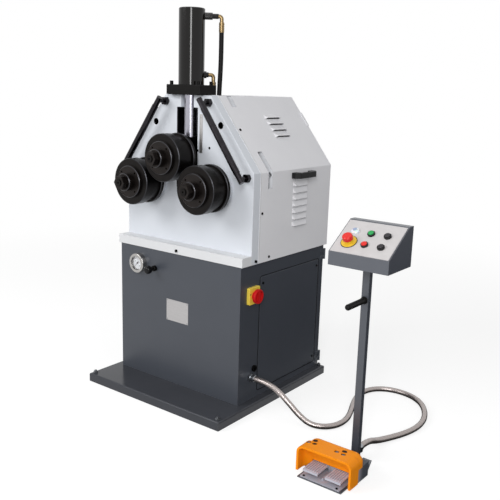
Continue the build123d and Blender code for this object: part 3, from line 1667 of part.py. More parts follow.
def estop_collar():
    collar = extrude(Circle(collar_diameter / 2), collar_thickness)
    collar = chamfer(collar.edges().group_by(Axis.Z)[-1], cap_edge)
    collar += extrude(Circle(collar_neck_diameter / 2), collar_thickness + collar_neck_height)
    collar += extrude(Circle(housing_diameter / 2), -housing_length)
    bore = mushroom_stem_diameter / 2 + sliding_gap
    full = collar_thickness + collar_neck_height + housing_length
    collar -= Pos(0, 0, 1 - housing_length) * extrude(Circle(bore), full)
    return on_panel("estop_button", panel_top) * collar


def estop_button():
    head = Pos(0, 0, mushroom_bottom) * extrude(Circle(mushroom_diameter / 2), mushroom_height)
    head = fillet(head.edges().group_by(Axis.Z)[-1], mushroom_edge)
    head += Pos(0, 0, mushroom_bottom) * extrude(Circle(mushroom_stem_diameter / 2), -mushroom_stem_length)
    return on_panel("estop_button", panel_top) * head


pedal_lefts = [
    foot_plate_x - pedal_spacing / 2 - pedal_width / 2,
    foot_plate_x + pedal_spacing / 2 - pedal_width / 2,
]


def pedal_base():
    half = pedal_tray_width / 2
    left = pedal_lefts[0]
    right = pedal_lefts[1] + pedal_width
    tray_front = foot_plate_y + pedal_tray_inset
    base = block(
        foot_plate_x - half, foot_plate_x + half, tray_front, housing_front_y, foot_plate_thickness,
        pedal_tray_top
    )
    housing_half = pedal_housing_width / 2
    housing = block(
        foot_plate_x - housing_half, foot_plate_x + housing_half, housing_front_y,
        housing_front_y + pedal_housing_depth, foot_plate_thickness, housing_top_z,
    )
    base += fillet(housing.edges().filter_by(Axis.Z).sort_by(Axis.Y)[2:], pedal_housing_edge)
    wall_front = foot_plate_y + guard_front_inset + guard_depth + guard_gap
    wall_top = housing_top_z - guard_gap
    for side in (-1, 1):
        outer = foot_plate_x + side * housing_half
        inner = outer - side * pedal_side_wall
        base += block(
            min(outer, inner), max(outer, inner), wall_front, housing_front_y, foot_plate_thickness,
            wall_top,
        )
    for x, y in tray_screw_places:
        base -= rod_z(screw_diameter + 2 * hole_gap, foot_plate_thickness - 1, pedal_tray_top + 1, x, y)
    lug_front = pedal_axle_y - pedal_lug_length / 2
    middle_lug = (pedal_lefts[1] - pedal_lefts[0] - pedal_width) / 2 - sliding_gap
    lug_spans = [
        (left - sliding_gap - pedal_lug_width, left - sliding_gap),
        (foot_plate_x - middle_lug, foot_plate_x + middle_lug),
        (right + sliding_gap, right + sliding_gap + pedal_lug_width),
    ]
    for x0, x1 in lug_spans:
        base += block(x0, x1, lug_front, housing_front_y, foot_plate_thickness, pedal_lug_height)
    rib_half = pedal_lug_width / 2
    base += block(
        foot_plate_x - rib_half, foot_plate_x + rib_half, lug_front - pedal_rib_length, lug_front,
        foot_plate_thickness, pedal_lug_height / 2,
    )
    return base + rod_x(
        pedal_axle_diameter, lug_spans[0][0], lug_spans[2][1], pedal_axle_y, pedal_axle_height
    )


def pedal(left):
    # Ribbed pad on two cheeks and a hub that turns on the axle
    right = left + pedal_width
    front_z = pedal_pad_height - pedal_pad_slope
    slope = pedal_pad_slope / pedal_length
    pad = [
        (pedal_front_y, front_z), (pedal_back_y, pedal_pad_height),
        (pedal_back_y, pedal_pad_height - pedal_pad_thickness),
        (pedal_front_y + pedal_pad_thickness, front_z - pedal_pad_thickness),
        (pedal_front_y + pedal_pad_thickness, front_z - pedal_lip), (pedal_front_y, front_z - pedal_lip),
    ]
    body = prism_x(pad, left, right)
    middle = pedal_pad_height - pedal_pad_thickness / 2
    cheek = [
        (pedal_back_y, middle), (pedal_axle_y, pedal_axle_height),
        (pedal_axle_y - pedal_cheek_reach, middle - (pedal_cheek_reach + pedal_axle_inset) * slope),
    ]
    for x0 in (left, right - pedal_cheek):
        body += prism_x(cheek, x0, x0 + pedal_cheek)
    body += rod_x(pedal_hub_diameter, left, right, pedal_axle_y, pedal_axle_height)
    pitch = (pedal_width - pedal_rib_width - 2 * pedal_rib_margin) / (pedal_rib_count - 1)
    rib = [
        (pedal_front_y + pedal_rib_inset, front_z), (pedal_back_y - pedal_rib_inset, pedal_pad_height - 1),
        (pedal_back_y - pedal_rib_inset, pedal_pad_height + pedal_rib_height - pedal_rib_inset * slope),
        (pedal_front_y + pedal_rib_inset, front_z + pedal_rib_height + pedal_rib_inset * slope),
    ]
    for i in range(pedal_rib_count):
        x0 = left + pedal_rib_margin + i * pitch
        body += prism_x(rib, x0, x0 + pedal_rib_width)
    bore = pedal_axle_diameter + 2 * running_gap
    return body - rod_x(bore, left - 1, right + 1, pedal_axle_y, pedal_axle_height)


def arch(width, leg, crown, bottom, top, corner):
    # Upside-down U in X and Z with rounded shoulders
    outer = Pos(foot_plate_x, (bottom + top) / 2) * Rectangle(width, top - bottom)
    outer = fillet(outer.vertices().sort_by(Axis.Y)[2:], corner)
    inner_top = top - crown
    inner = Pos(foot_plate_x, (bottom + inner_top) / 2) * Rectangle(width - 2 * leg, inner_top - bottom)
    return outer - fillet(inner.vertices().sort_by(Axis.Y)[2:], corner - leg)


def guard_hood(inset, front, back, bottom):
    # Rear hood of the guard, rounded over its shoulders and down its back
    half = guard_rear_width / 2 - inset
    top = guard_top - inset
    end = back - inset
    across = Pos(foot_plate_x, (bottom + top) / 2) * Rectangle(2 * half, top - bottom)
    across = fillet(across.vertices().sort_by(Axis.Y)[2:], guard_rear_corner - inset)
    bow = min(back - front, guard_top - housing_top_z) - guard_rear_wall - inset
    along = Pos((front + end) / 2, (bottom + top) / 2) * Rectangle(end - front, top - bottom)
    along = fillet(along.vertices().sort_by(lambda v: v.X + v.Y)[-1], bow)
    return prism_y(across, front, end) & extrude(Plane.YZ.offset(foot_plate_x - half) * along, 2 * half)


def pedal_guard():
    front = foot_plate_y + guard_front_inset
    back = front + guard_depth
    guard = prism_y(
        arch(guard_width, guard_leg, guard_crown, guard_bottom, guard_top, guard_corner), front, back
    )
    rear_back = housing_front_y + guard_rear_overhang
    wall = guard_rear_wall
    rear = guard_hood(0, back, rear_back, housing_top_z)
    guard += rear - guard_hood(wall, back - 1, rear_back, housing_top_z - 1)
    inner = guard_rear_width / 2 - wall
    apron_back = housing_front_y - guard_apron_gap
    for x0, x1 in ((-inner, wall - inner), (inner - wall, inner)):
        guard += block(foot_plate_x + x0, foot_plate_x + x1, back, apron_back, guard_bottom, guard_skirt_top)
    guard += block(
        foot_plate_x - inner, foot_plate_x + inner, apron_back - wall, apron_back,
        guard_apron_bottom, guard_apron_top
    )
    floor = guard_top - guard_recess_depth
    for across, setback in guard_recess_places:
        guard -= rod_z(guard_recess_diameter, floor, guard_top + 1, foot_plate_x + across, front + setback)
    return guard


half_tooth = math.pi / gear_teeth
nodes = {
    "base_tray": base_tray(),
    "levelling_feet": levelling_feet(),
    "cabinet_shell": cabinet_shell(),
    "side_panel": side_panel(),
    "rear_door": rear_door(),
    "front_ledge": front_ledge(),
    "black_bolts": black_bolts(),
    "front_plate": front_plate(),
    "rear_frame": rear_frame(),
    "hood": hood(),
    "hood_handles": hood_handles(),
    "side_bars": side_bars(),
    "blank_plates": blank_plates(),
    "slide_guides": slide_guides(),
    "slide_block": slide_block(),
    "piston_rod": piston_rod(),
    "cylinder_flange": cylinder_flange(),
    "cylinder_barrel": cylinder_barrel(),
    "hose_elbows": hose_elbows(),
    "hydraulic_hoses": hydraulic_hoses(),
    "left_shaft": lower_shaft(-axle_x),
    "right_shaft": lower_shaft(axle_x),
    "top_shaft": top_shaft(),
    "left_roll": roll(-axle_x, axle_z),
    "right_roll": roll(axle_x, axle_z),
    "top_roll": roll(0, top_axle_z),
    "left_clamp": clamp(-axle_x, axle_z),
    "right_clamp": clamp(axle_x, axle_z),
    "top_clamp": clamp(0, top_axle_z),
    "shaft_bearings": shaft_bearings(),
    "left_gear": roll_gear(-axle_x, 0),
    "right_gear": roll_gear(axle_x, half_tooth),
    "drive_pinion": drive_pinion(),
    "gearmotor": gearmotor(),
    "hydraulic_unit": hydraulic_unit(),
    "gauge_case": gauge_case(),
    "gauge_needle": gauge_needle(),
    "gauge_lens": gauge_lens(),
    "valve_knob": valve_knob(),
    "main_switch_plate": main_switch_plate(),
    "main_switch_knob": main_switch_knob(),
    "panel_plugs": panel_plugs(),
    "conduit_glands": conduit_glands(),
    "conduit": conduit(),
    "stand_frame": stand_frame(),
    "stand_grip": stand_grip(),
    "console_box": console_box(),
    "console_panel": console_panel(),
    "button_bezels": button_bezels(),
    "power_lamp": power_lamp(),
    "estop_collar": estop_collar(),
    "estop_button": estop_button(),
    "start_button": push_button("start_button"),
    "stop_button": push_button("stop_button"),
    "upper_button": push_button("upper_button"),
    "lower_button": push_button("lower_button"),
    "pedal_base": pedal_base(),
    "left_pedal": pedal(pedal_lefts[0]),
    "right_pedal": pedal(pedal_lefts[1]),
    "pedal_guard": pedal_guard(),
}

os.makedirs("parts", exist_ok=True)
for name, shape in nodes.items():
    export_step(shape, f"parts/{name}.step")
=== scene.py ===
import math

import bmesh
import bpy
from mathutils import Matrix, Vector


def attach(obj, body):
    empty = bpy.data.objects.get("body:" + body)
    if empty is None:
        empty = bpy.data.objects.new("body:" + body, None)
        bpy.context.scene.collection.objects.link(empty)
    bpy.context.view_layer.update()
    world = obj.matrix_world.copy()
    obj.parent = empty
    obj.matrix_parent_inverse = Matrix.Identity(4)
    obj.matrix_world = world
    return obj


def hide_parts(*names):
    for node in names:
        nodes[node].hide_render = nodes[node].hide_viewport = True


# Roll bending machine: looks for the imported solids, in metres, +X right, +Y back, +Z up

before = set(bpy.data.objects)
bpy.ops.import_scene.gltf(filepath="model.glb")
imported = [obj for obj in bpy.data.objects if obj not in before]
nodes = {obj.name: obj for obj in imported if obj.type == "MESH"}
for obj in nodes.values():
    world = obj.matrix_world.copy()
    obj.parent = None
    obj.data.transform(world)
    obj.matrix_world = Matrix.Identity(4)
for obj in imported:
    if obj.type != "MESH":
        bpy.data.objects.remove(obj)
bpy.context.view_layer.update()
print("frame loaded,", len(nodes), "nodes")


def linked(name, data):
    thing = bpy.data.objects.new(name, data)
    bpy.context.scene.collection.objects.link(thing)
    return thing


# Camera, fitted to the straight edges of the machine
cameraView = {
    "place": (2.169, -2.5755, 1.4225),
    "yaw": 36.95,
    "pitch": 12.7,
    "roll": 1.71,
    "lens": 50.93,
    "sensor": 36,  # mm, square frame
    "reach": 60,  # how far it sees
}


def makeCamera(view):
    yaw, pitch, roll = (math.radians(view[key]) for key in ("yaw", "pitch", "roll"))
    ahead = Vector((-math.sin(yaw) * math.cos(pitch), math.cos(yaw) * math.cos(pitch), -math.sin(pitch)))
    level = Vector((math.cos(yaw), math.sin(yaw), 0))
    upright = level.cross(ahead)
    right = math.cos(roll) * level + math.sin(roll) * upright
    up = math.cos(roll) * upright - math.sin(roll) * level
    data = bpy.data.cameras.new("photoCamera")
    data.sensor_width = view["sensor"]
    data.lens = view["lens"]
    data.clip_end = view["reach"]
    camera = linked("photoCamera", data)
    turn = Matrix((right, up, -ahead)).transposed().to_4x4()
    camera.matrix_world = Matrix.Translation(view["place"]) @ turn
    bpy.context.scene.camera = camera


makeCamera(cameraView)
print("camera set")


def linear(hexText):
    values = [int(hexText[i:i + 2], 16) / 255 for i in (1, 3, 5)]
    return [v / 12.92 if v <= 0.04045 else ((v + 0.055) / 1.055) ** 2.4 for v in values] + [1]


def addNode(tree, kind, inputs=None, **settings):
    # A value of (node, output) becomes a link, anything else a setting of the socket
    node = tree.nodes.new("ShaderNode" + kind)
    for key, value in settings.items():
        setattr(node, key, value)
    for key, value in (inputs or {}).items():
        if isinstance(value, tuple) and isinstance(value[0], bpy.types.Node):
            tree.links.new(value[0].outputs[value[1]], node.inputs[key])
        else:
            node.inputs[key].default_value = value
    return node


def newMaterial(name):
    material = bpy.data.materials.new(name)
    material.use_nodes = True
    material.node_tree.nodes.clear()
    return material, material.node_tree


waveRepeat = 0.628  # a wave texture repeats every 0.628 of its scaled coordinate
grainDepth = 0.0002  # height of a fine grain, metres


def perMetre(millimetres):
    # Noise scale whose patches are about this many millimetres across
    return 1000 / millimetres


def closeSurface(tree, sockets):
    # The shader and the output of a finished tree
    surface = addNode(tree, "BsdfPrincipled", sockets)
    addNode(tree, "OutputMaterial", {"Surface": (surface, "BSDF")})


# What all the paints share
paintSkin = {
    "edge": 0.0015,  # radius over which an edge catches the light
    "flat": 0.99,  # how well the rounded normal matches the flat one where wear begins
    "bent": 0.8,  # and where it is full
    # Edge colour mixed in where the normals part: rubbed paint, and on the dark paints a painted highlight
    "edgeRubAndHighlight": "#B9BCC2",
    "spread": 0.05,  # of the roughness
    "depth": 0.0004,
}


def paintedSheet(name, look):
    # Sprayed or powdered paint on steel: even colour, a soft mottle, a fine skin that breaks the gloss,
    # edges that catch the light and are rubbed paler, which on the dark paints is also a painted highlight
    material, tree = newMaterial(name)
    place = addNode(tree, "TexCoord")
    rounded = addNode(tree, "Bevel", {"Radius": paintSkin["edge"]}, samples=4)
    flat = addNode(tree, "NewGeometry")
    match = addNode(tree, "VectorMath", {
        0: (rounded, "Normal"), 1: (flat, "True Normal"),
    }, operation="DOT_PRODUCT")
    edge = addNode(tree, "MapRange", {
        "Value": (match, "Value"), "From Min": paintSkin["flat"], "From Max": paintSkin["bent"],
        "To Max": look["edgeWearAndHighlight"],
    })
    mottle = addNode(tree, "TexNoise", {
        "Vector": (place, "Object"), "Scale": perMetre(look["mottle"]), "Detail": 3,
    })
    colour = addNode(tree, "Mix", {
        0: (mottle, "Fac"), 6: linear(look["colour"]), 7: linear(look["shade"]),
    }, data_type="RGBA")
    # Edges take the edge colour: rubbed paint, and on the dark paints a painted highlight
    rubbedAndHighlit = addNode(tree, "Mix", {
        0: (edge, "Result"), 6: (colour, 2), 7: linear(paintSkin["edgeRubAndHighlight"]),
    }, data_type="RGBA")
    skin = addNode(tree, "TexNoise", {
        "Vector": (place, "Object"), "Scale": perMetre(look["skin"]), "Detail": 2,
    })
    rough = addNode(tree, "MapRange", {
        "Value": (skin, "Fac"), "To Min": look["rough"] - paintSkin["spread"],
        "To Max": look["rough"] + paintSkin["spread"],
    })
    bump = addNode(tree, "Bump", {
        "Height": (skin, "Fac"), "Strength": look["bump"], "Distance": paintSkin["depth"],
        "Normal": (rounded, "Normal"),
    })
    closeSurface(tree, {
        "Base Color": (rubbedAndHighlit, 2), "Roughness": (rough, "Result"), "Normal": (bump, "Normal"),
        "IOR": 1.5, "Specular IOR Level": look["specular"],
    })
    return material


# Each paint's wear is the share of the edge colour, which on the dark paints is also a painted highlight
paints = {
    # White enamel on the ground plate, a little blue
    "plateEnamel": {"colour": "#DADEE4", "shade": "#D4D8DF", "mottle": 120, "skin": 4, "rough": 0.38,
                    "bump": 0.05, "specular": 0.25, "edgeWearAndHighlight": 0.1},
    # White on the frame inside the hood, paler than the plate's: painted light, so that the frame seen
    # through the hood's slots looks lit
    "frameWhitePaintedLight": {"colour": "#F1F3F7", "shade": "#EAECF1", "mottle": 120, "skin": 4, "rough": 0.5,
                       "bump": 0.08, "specular": 0.2, "edgeWearAndHighlight": 0.1},
    # White enamel on folded sheet, warmer than the plate's
    "ledgeEnamel": {"colour": "#E2E3E5", "shade": "#DBDCDE", "mottle": 90, "skin": 4, "rough": 0.4,
                    "bump": 0.05, "specular": 0.25, "edgeWearAndHighlight": 0.1},
    # Light grey powder coat, a fine orange peel
    "hoodPowder": {"colour": "#EAEAED", "shade": "#E2E2E6", "mottle": 150, "skin": 3, "rough": 0.45,
                   "bump": 0.1, "specular": 0.2, "edgeWearAndHighlight": 0.1},
    # Dark blue-grey powder coat, semi-matt
    "cabinetPowder": {"colour": "#41454D", "shade": "#3C4048", "mottle": 110, "skin": 3, "rough": 0.38,
                      "bump": 0.07, "specular": 0.5, "edgeWearAndHighlight": 0.12},
    # The same colour as wet paint on the tray, glossy enough to mirror the cabinet
    "trayEnamel": {"colour": "#3E4046", "shade": "#383A40", "mottle": 110, "skin": 5, "rough": 0.18,
                   "bump": 0.03, "specular": 0.25, "edgeWearAndHighlight": 0.2},
    # The cabinet's paint on the small stand, with more gloss
    "standPowder": {"colour": "#42464E", "shade": "#3D4149", "mottle": 80, "skin": 3, "rough": 0.38,
                    "bump": 0.08, "specular": 0.8, "edgeWearAndHighlight": 0.15},
    # A shinier coat of it on the console box
    "consolePowder": {"colour": "#484C55", "shade": "#434750", "mottle": 80, "skin": 3, "rough": 0.36,
                      "bump": 0.08, "specular": 1, "edgeWearAndHighlight": 0.15},
    # Pale grey panel, screen-printed ground with a dull satin
    "panelPrint": {"colour": "#CDCACA", "shade": "#C1BEBE", "mottle": 28, "skin": 2.5, "rough": 0.5,
                   "bump": 0.05, "specular": 0.2, "edgeWearAndHighlight": 0.1},
    # Machine enamel on motor and power unit
    "motorEnamel": {"colour": "#5C6268", "shade": "#545A60", "mottle": 60, "skin": 3.5, "rough": 0.4,
                    "bump": 0.12, "specular": 0.4, "edgeWearAndHighlight": 0.15},
    # Gloss black enamel on the cylinder
    "cylinderEnamel": {"colour": "#100E0D", "shade": "#0C0A09", "mottle": 70, "skin": 6, "rough": 0.1,
                       "bump": 0.02, "specular": 0.3, "edgeWearAndHighlight": 0.05},
    # Thin black primer over the sawn flange, matt
    "flangePrimer": {"colour": "#151413", "shade": "#100F0F", "mottle": 40, "skin": 3, "rough": 0.5,
                     "bump": 0.1, "specular": 0.08, "edgeWearAndHighlight": 0.1},
}


def turnedBlackSteel(name, look):
    # Lathe-turned steel, hot blacked and oiled: fine feed lines, a brown cast, edges rubbed brighter;
    # the brighter chamfers are wear and a painted highlight
    material, tree = newMaterial(name)
    place = addNode(tree, "TexCoord")
    centred = addNode(tree, "Mapping", {
        "Vector": (place, "Object"), "Location": (-look["centre"][0], 0, -look["centre"][1]),
    })
    feedMarks = {
        "Vector": (centred, "Vector"), "Scale": waveRepeat * perMetre(look["feed"]),
        "Distortion": look["waver"], "Detail": 1,
    }
    faced = addNode(tree, "TexWave", feedMarks, wave_type="RINGS", rings_direction="Y")
    turned = addNode(tree, "TexWave", feedMarks, wave_type="BANDS", bands_direction="Y")
    lines = addNode(tree, "Math", {0: (faced, "Fac"), 1: (turned, "Fac")}, operation="ADD")
    smears = addNode(tree, "TexNoise", {
        "Vector": (centred, "Vector"), "Scale": perMetre(look["smear"]), "Detail": 4,
    })
    oxide = addNode(tree, "Mix", {
        0: (smears, "Fac"), 6: linear(look["colour"]), 7: linear(look["brown"]),
    }, data_type="RGBA")
    # Chamfers lean half way between the face and the rim, which finds the rubbed edges; their brighter
    # colour is wear and a painted highlight
    lean = addNode(tree, "NewGeometry")
    parts = addNode(tree, "SeparateXYZ", {"Vector": (lean, "True Normal")})
    tilt = addNode(tree, "Math", {0: (parts, "Y")}, operation="ABSOLUTE")
    edge = addNode(tree, "Math", {
        0: (tilt, 0), 1: look["chamfer"][0], 2: look["chamfer"][1],
    }, operation="COMPARE")
    edgeWearAndHighlight = addNode(tree, "Math", {0: (edge, 0), 1: look["edgeWearAndHighlight"]}, operation="MULTIPLY")
    colour = addNode(tree, "Mix", {
        0: (edgeWearAndHighlight, 0), 6: (oxide, 2), 7: linear(look["edge"]),
    }, data_type="RGBA")
    rough = addNode(tree, "MapRange", {
        "Value": (smears, "Fac"), "To Min": look["rough"][0], "To Max": look["rough"][1],
    })
    bump = addNode(tree, "Bump", {
        "Height": (lines, 0), "Strength": look["bump"], "Distance": look["depth"],
    })
    closeSurface(tree, {
        "Base Color": (colour, 2), "Metallic": look["metal"], "Roughness": (rough, "Result"),
        "Normal": (bump, "Normal"),
    })
    return material


blackSteel = {
    "colour": "#100F0F",
    "brown": "#1B1715",
    # Colour of the chamfers: rubbed steel and a painted highlight
    "edge": "#5E6067",
    "feed": 3,  # mm, about ten times the real lines, so that they show
    "waver": 0.4,
    "smear": 45,
    "rough": (0.25, 0.43),
    "bump": 0.12,
    "depth": 0.0003,
    "chamfer": (0.707, 0.12),  # lean of its normal, and how far off still counts
    "edgeWearAndHighlight": 0.26,
    "metal": 0.82,
}
# The clamp sets are handled more: their oxide is thinner, browner and duller, and their chamfers
# take more of the edge colour, which is wear and a painted highlight
clampSteel = {**blackSteel, "colour": "#161413", "brown": "#261F1C", "edgeWearAndHighlight": 0.34, "metal": 0.72}
axleCentres = {"left": (-0.195, 1.004), "right": (0.195, 1.004), "top": (0, 1.12596)}


def plainMetal(name, look):
    # Bare or plated metal: colour drifts a little, brushed or drawn streaks along one axis
    material, tree = newMaterial(name)
    place = addNode(tree, "TexCoord")
    stretched = addNode(tree, "Mapping", {"Vector": (place, "Object"), "Scale": look["streak"]})
    grain = addNode(tree, "TexNoise", {
        "Vector": (stretched, "Vector"), "Scale": perMetre(look["grain"]), "Detail": 4,
    })
    colour = addNode(tree, "Mix", {
        0: (grain, "Fac"), 6: linear(look["colour"]), 7: linear(look["shade"]),
    }, data_type="RGBA")
    rough = addNode(tree, "MapRange", {
        "Value": (grain, "Fac"), "To Min": look["rough"] - look["spread"],
        "To Max": look["rough"] + look["spread"],
    })
    bump = addNode(tree, "Bump", {
        "Height": (grain, "Fac"), "Strength": look["bump"], "Distance": grainDepth,
    })
    closeSurface(tree, {
        "Base Color": (colour, 2), "Metallic": look.get("metal", 1), "Roughness": (rough, "Result"),
        "Normal": (bump, "Normal"),
    })
    return material


metals = {
    # Ground hard chrome, a satin that draws reflections out along the rod
    "hardChrome": {"colour": "#ADACB6", "shade": "#A1A0AA", "streak": (1, 1, 0.2), "grain": 3,
                   "rough": 0.24, "spread": 0.03, "bump": 0.02},
    # Spun stainless ring of the gauge
    "gaugeSteel": {"colour": "#B4B2B0", "shade": "#9E9C9A", "streak": (1, 1, 1), "grain": 4,
                   "rough": 0.22, "spread": 0.05, "bump": 0.03},
    # Bright nickel on the conduit glands
    "glandNickel": {"colour": "#A9ABAF", "shade": "#8F9296", "streak": (1, 1, 1), "grain": 5,
                    "rough": 0.24, "spread": 0.07, "bump": 0.05},
    # Zinc gone dull on feet, rivets and the guard's screws
    "dullZinc": {"colour": "#7E8084", "shade": "#66686C", "streak": (1, 1, 1), "grain": 5,
                 "rough": 0.36, "spread": 0.08, "bump": 0.08},
    # Passivated brass of the hose ends, half way to grey
    "passivatedBrass": {"colour": "#99835F", "shade": "#6F5E43", "streak": (1, 1, 0.4), "grain": 5,
                        "rough": 0.3, "spread": 0.08, "bump": 0.08},
    # Brushed aluminium of the blank plates, lines run across
    "brushedAluminium": {"colour": "#BFBDBD", "shade": "#A8A6A6", "streak": (0.04, 1, 1), "grain": 1.6,
                         "rough": 0.4, "spread": 0.06, "bump": 0.08, "metal": 0.85},
    # Hobbed gear steel with a film of grease
    "gearSteel": {"colour": "#A9A7A3", "shade": "#8D8983", "streak": (1, 0.3, 1), "grain": 3,
                  "rough": 0.3, "spread": 0.1, "bump": 0.08},
    # Blacked drawn bar, a dark satin with soft light and dark patches of random tone, strong enough to
    # stand in for streaks of reflection: partly a painted reflection
    "blackedBar": {"colour": "#3E3C40", "shade": "#1A1818", "streak": (0.3, 1, 0.3), "grain": 6,
                   "rough": 0.2, "spread": 0.06, "bump": 0.06},
    # Blacked and oiled screws, also the dark film of painted shade in the plate's bores
    "blackScrewAndShade": {"colour": "#1C1B1B", "shade": "#121212", "streak": (1, 1, 1), "grain": 3,
                   "rough": 0.36, "spread": 0.08, "bump": 0.06},
}


# What a plastic has unless its own row says otherwise
plasticBase = {
    "flow": 30,
    "spark": 1.2,
    "ior": 1.49,
    "specular": 0.4,
    "depth": 0,  # share of light that passes into it
    "scatter": 0.003,
    "duller": 0.06,  # how far the spark texture spreads the roughness, up and down
    "shinier": 0.04,
}


def mouldedPlastic(name, row):
    # Injection-moulded plastic: even colour, a faint flow mottle and the mould's fine spark texture
    look = {**plasticBase, **row}
    material, tree = newMaterial(name)
    place = addNode(tree, "TexCoord")
    flow = addNode(tree, "TexNoise", {
        "Vector": (place, "Object"), "Scale": perMetre(look["flow"]), "Detail": 2,
    })
    colour = addNode(tree, "Mix", {
        0: (flow, "Fac"), 6: linear(look["colour"]), 7: linear(look["shade"]),
    }, data_type="RGBA")
    # A row's rear colour fades in towards the back along Y: painted shade
    if "rear" in look:
        parts = addNode(tree, "SeparateXYZ", {"Vector": (place, "Object")})
        fade = addNode(tree, "MapRange", {
            "Value": (parts, "Y"), "From Min": look["fade"][0], "From Max": look["fade"][1],
        }, interpolation_type="SMOOTHSTEP")
        colour = addNode(tree, "Mix", {
            0: (fade, "Result"), 6: (colour, 2), 7: linear(look["rear"]),
        }, data_type="RGBA")
    spark = addNode(tree, "TexNoise", {
        "Vector": (place, "Object"), "Scale": perMetre(look["spark"]), "Detail": 1,
    })
    rough = addNode(tree, "MapRange", {
        "Value": (spark, "Fac"), "To Min": look["rough"] - look["shinier"],
        "To Max": look["rough"] + look["duller"],
    })
    bump = addNode(tree, "Bump", {
        "Height": (spark, "Fac"), "Strength": look["bump"], "Distance": grainDepth,
    })
    closeSurface(tree, {
        "Base Color": (colour, 2), "Roughness": (rough, "Result"), "Normal": (bump, "Normal"),
        "IOR": look["ior"], "Specular IOR Level": look["specular"],
        "Subsurface Weight": look["depth"], "Subsurface Scale": look["scatter"],
    })
    return material


plastics = {
    # Glass-filled nylon handles and bezels, dull black
    "nylonBlack": {"colour": "#161617", "shade": "#101011", "rough": 0.42, "bump": 0.15, "specular": 0.3},
    # Polished phenolic knob and lacquered needle
    "glossBlack": {"colour": "#0F0F11", "shade": "#0A0A0C", "rough": 0.12, "bump": 0.03, "specular": 0.2},
    # Extruded nitrile hose and grip, matt; also black pieces that paint shade in the guard's recesses
    # and along the side panel's seam
    "nitrileRubberAndShade": {"colour": "#161515", "shade": "#100F0F", "rough": 0.5, "bump": 0.25, "spark": 2,
                      "ior": 1.52, "specular": 0.12},
    # Button caps in dyed nylon, a shade off black
    "buttonBlack": {"colour": "#29272B", "shade": "#211F23", "rough": 0.2, "bump": 0.04, "specular": 0.45},
    # Rotary switch knob, deeper than the stop button
    "switchRed": {"colour": "#CE1D1F", "shade": "#BE1819", "rough": 0.32, "bump": 0.05, "specular": 0.15},
    # Stop buttons, a warm red with a soft highlight
    "stopRed": {"colour": "#E42C24", "shade": "#D4251F", "rough": 0.28, "bump": 0.05},
    # Collar under the stop, a satin yellow
    "collarYellow": {"colour": "#EBC83F", "shade": "#E0BA30", "rough": 0.34, "bump": 0.06},
    # Plate of the main switch, glossier and paler than the stop's collar; being paler is painted light on
    # a face that looks to the side
    "switchYellowPaintedLight": {"colour": "#FBDD55", "shade": "#F5D54C", "rough": 0.24, "bump": 0.05, "specular": 0.6},
    # Start button in dyed nylon, a clear mid green
    "startGreen": {"colour": "#26A556", "shade": "#1D954B", "rough": 0.24, "bump": 0.04},
    # Milky acrylic cap of the lamp, which light enters a little way
    "lampWhite": {"colour": "#F0F3F8", "shade": "#E6EAF1", "rough": 0.22, "bump": 0.03, "depth": 0.3},
    # Frosted lens in the middle of the lamp
    "lampLens": {"colour": "#9FAFC8", "shade": "#90A1BC", "rough": 0.3, "bump": 0.06, "depth": 0.2},
    # Pigmented ABS of the pedal guard
    "guardOrange": {"colour": "#FF9A12", "shade": "#F88F0E", "rough": 0.38, "bump": 0.1, "flow": 60,
                    "specular": 0.15},
    # Ribbed pedal pads, a mauve grey
    "padGrey": {"colour": "#C6C6D2", "shade": "#B9B9C5", "rough": 0.5, "bump": 0.15, "specular": 0.3},
    # Painted shade in the pads' grooves, a darker grey than the pads
    "grooveShadeGrey": {"colour": "#ABA8B4", "shade": "#9C99A5", "rough": 0.6, "bump": 0.2, "flow": 12,
                   "specular": 0.2},
    # Die-cast pedal base under grey enamel, pale in front of the hinge and dark behind it, where the
    # darker colour is painted shade under the guard's hood
    "pedalCast": {"colour": "#ADACB6", "shade": "#A09FA9", "rear": "#4B4F57", "fade": (-0.425, -0.37),
                  "rough": 0.45, "bump": 0.2, "spark": 2.5, "specular": 0.3},
    # Enamelled dial face
    "dialWhite": {"colour": "#EDEEF1", "shade": "#E4E6EB", "rough": 0.35, "bump": 0.02},
    # Printing ink for ticks and numbers, also the dark sheet of the door's key slot, painted shade
    "printInkAndShade": {"colour": "#17181C", "shade": "#202228", "rough": 0.5, "bump": 0.05},
}


def clearGlass(name):
    # Flat float glass: nothing but its gloss and the dial behind it
    material, tree = newMaterial(name)
    closeSurface(tree, {
        "Base Color": (1, 1, 1, 1), "Roughness": 0.02, "IOR": 1.45, "Transmission Weight": 1,
    })
    return material


def braidedSteel(name, look):
    # Stainless wire braid over a flexible core: crossing bands of wire with darker gaps
    material, tree = newMaterial(name)
    place = addNode(tree, "TexCoord")
    around = waveRepeat * look["strands"]
    along = waveRepeat * look["length"] / look["pitch"]
    strands = []
    for way in (1, -1):
        turned = addNode(tree, "Mapping", {"Vector": (place, "UV"), "Scale": (along, way * around, 0)})
        strands.append(addNode(tree, "TexWave", {
            "Vector": (turned, "Vector"), "Scale": 1, "Distortion": 0,
        }, wave_type="BANDS", bands_direction="DIAGONAL"))
    weave = addNode(tree, "Math", {0: (strands[0], "Fac"), 1: (strands[1], "Fac")}, operation="MAXIMUM")
    colour = addNode(tree, "Mix", {
        0: (weave, 0), 6: linear(look["gap"]), 7: linear(look["wire"]),
    }, data_type="RGBA")
    bump = addNode(tree, "Bump", {
        "Height": (weave, 0), "Strength": look["bump"], "Distance": look["relief"],
    })
    closeSurface(tree, {
        "Base Color": (colour, 2), "Metallic": look["metal"], "Roughness": look["rough"],
        "Normal": (bump, "Normal"),
    })
    return material


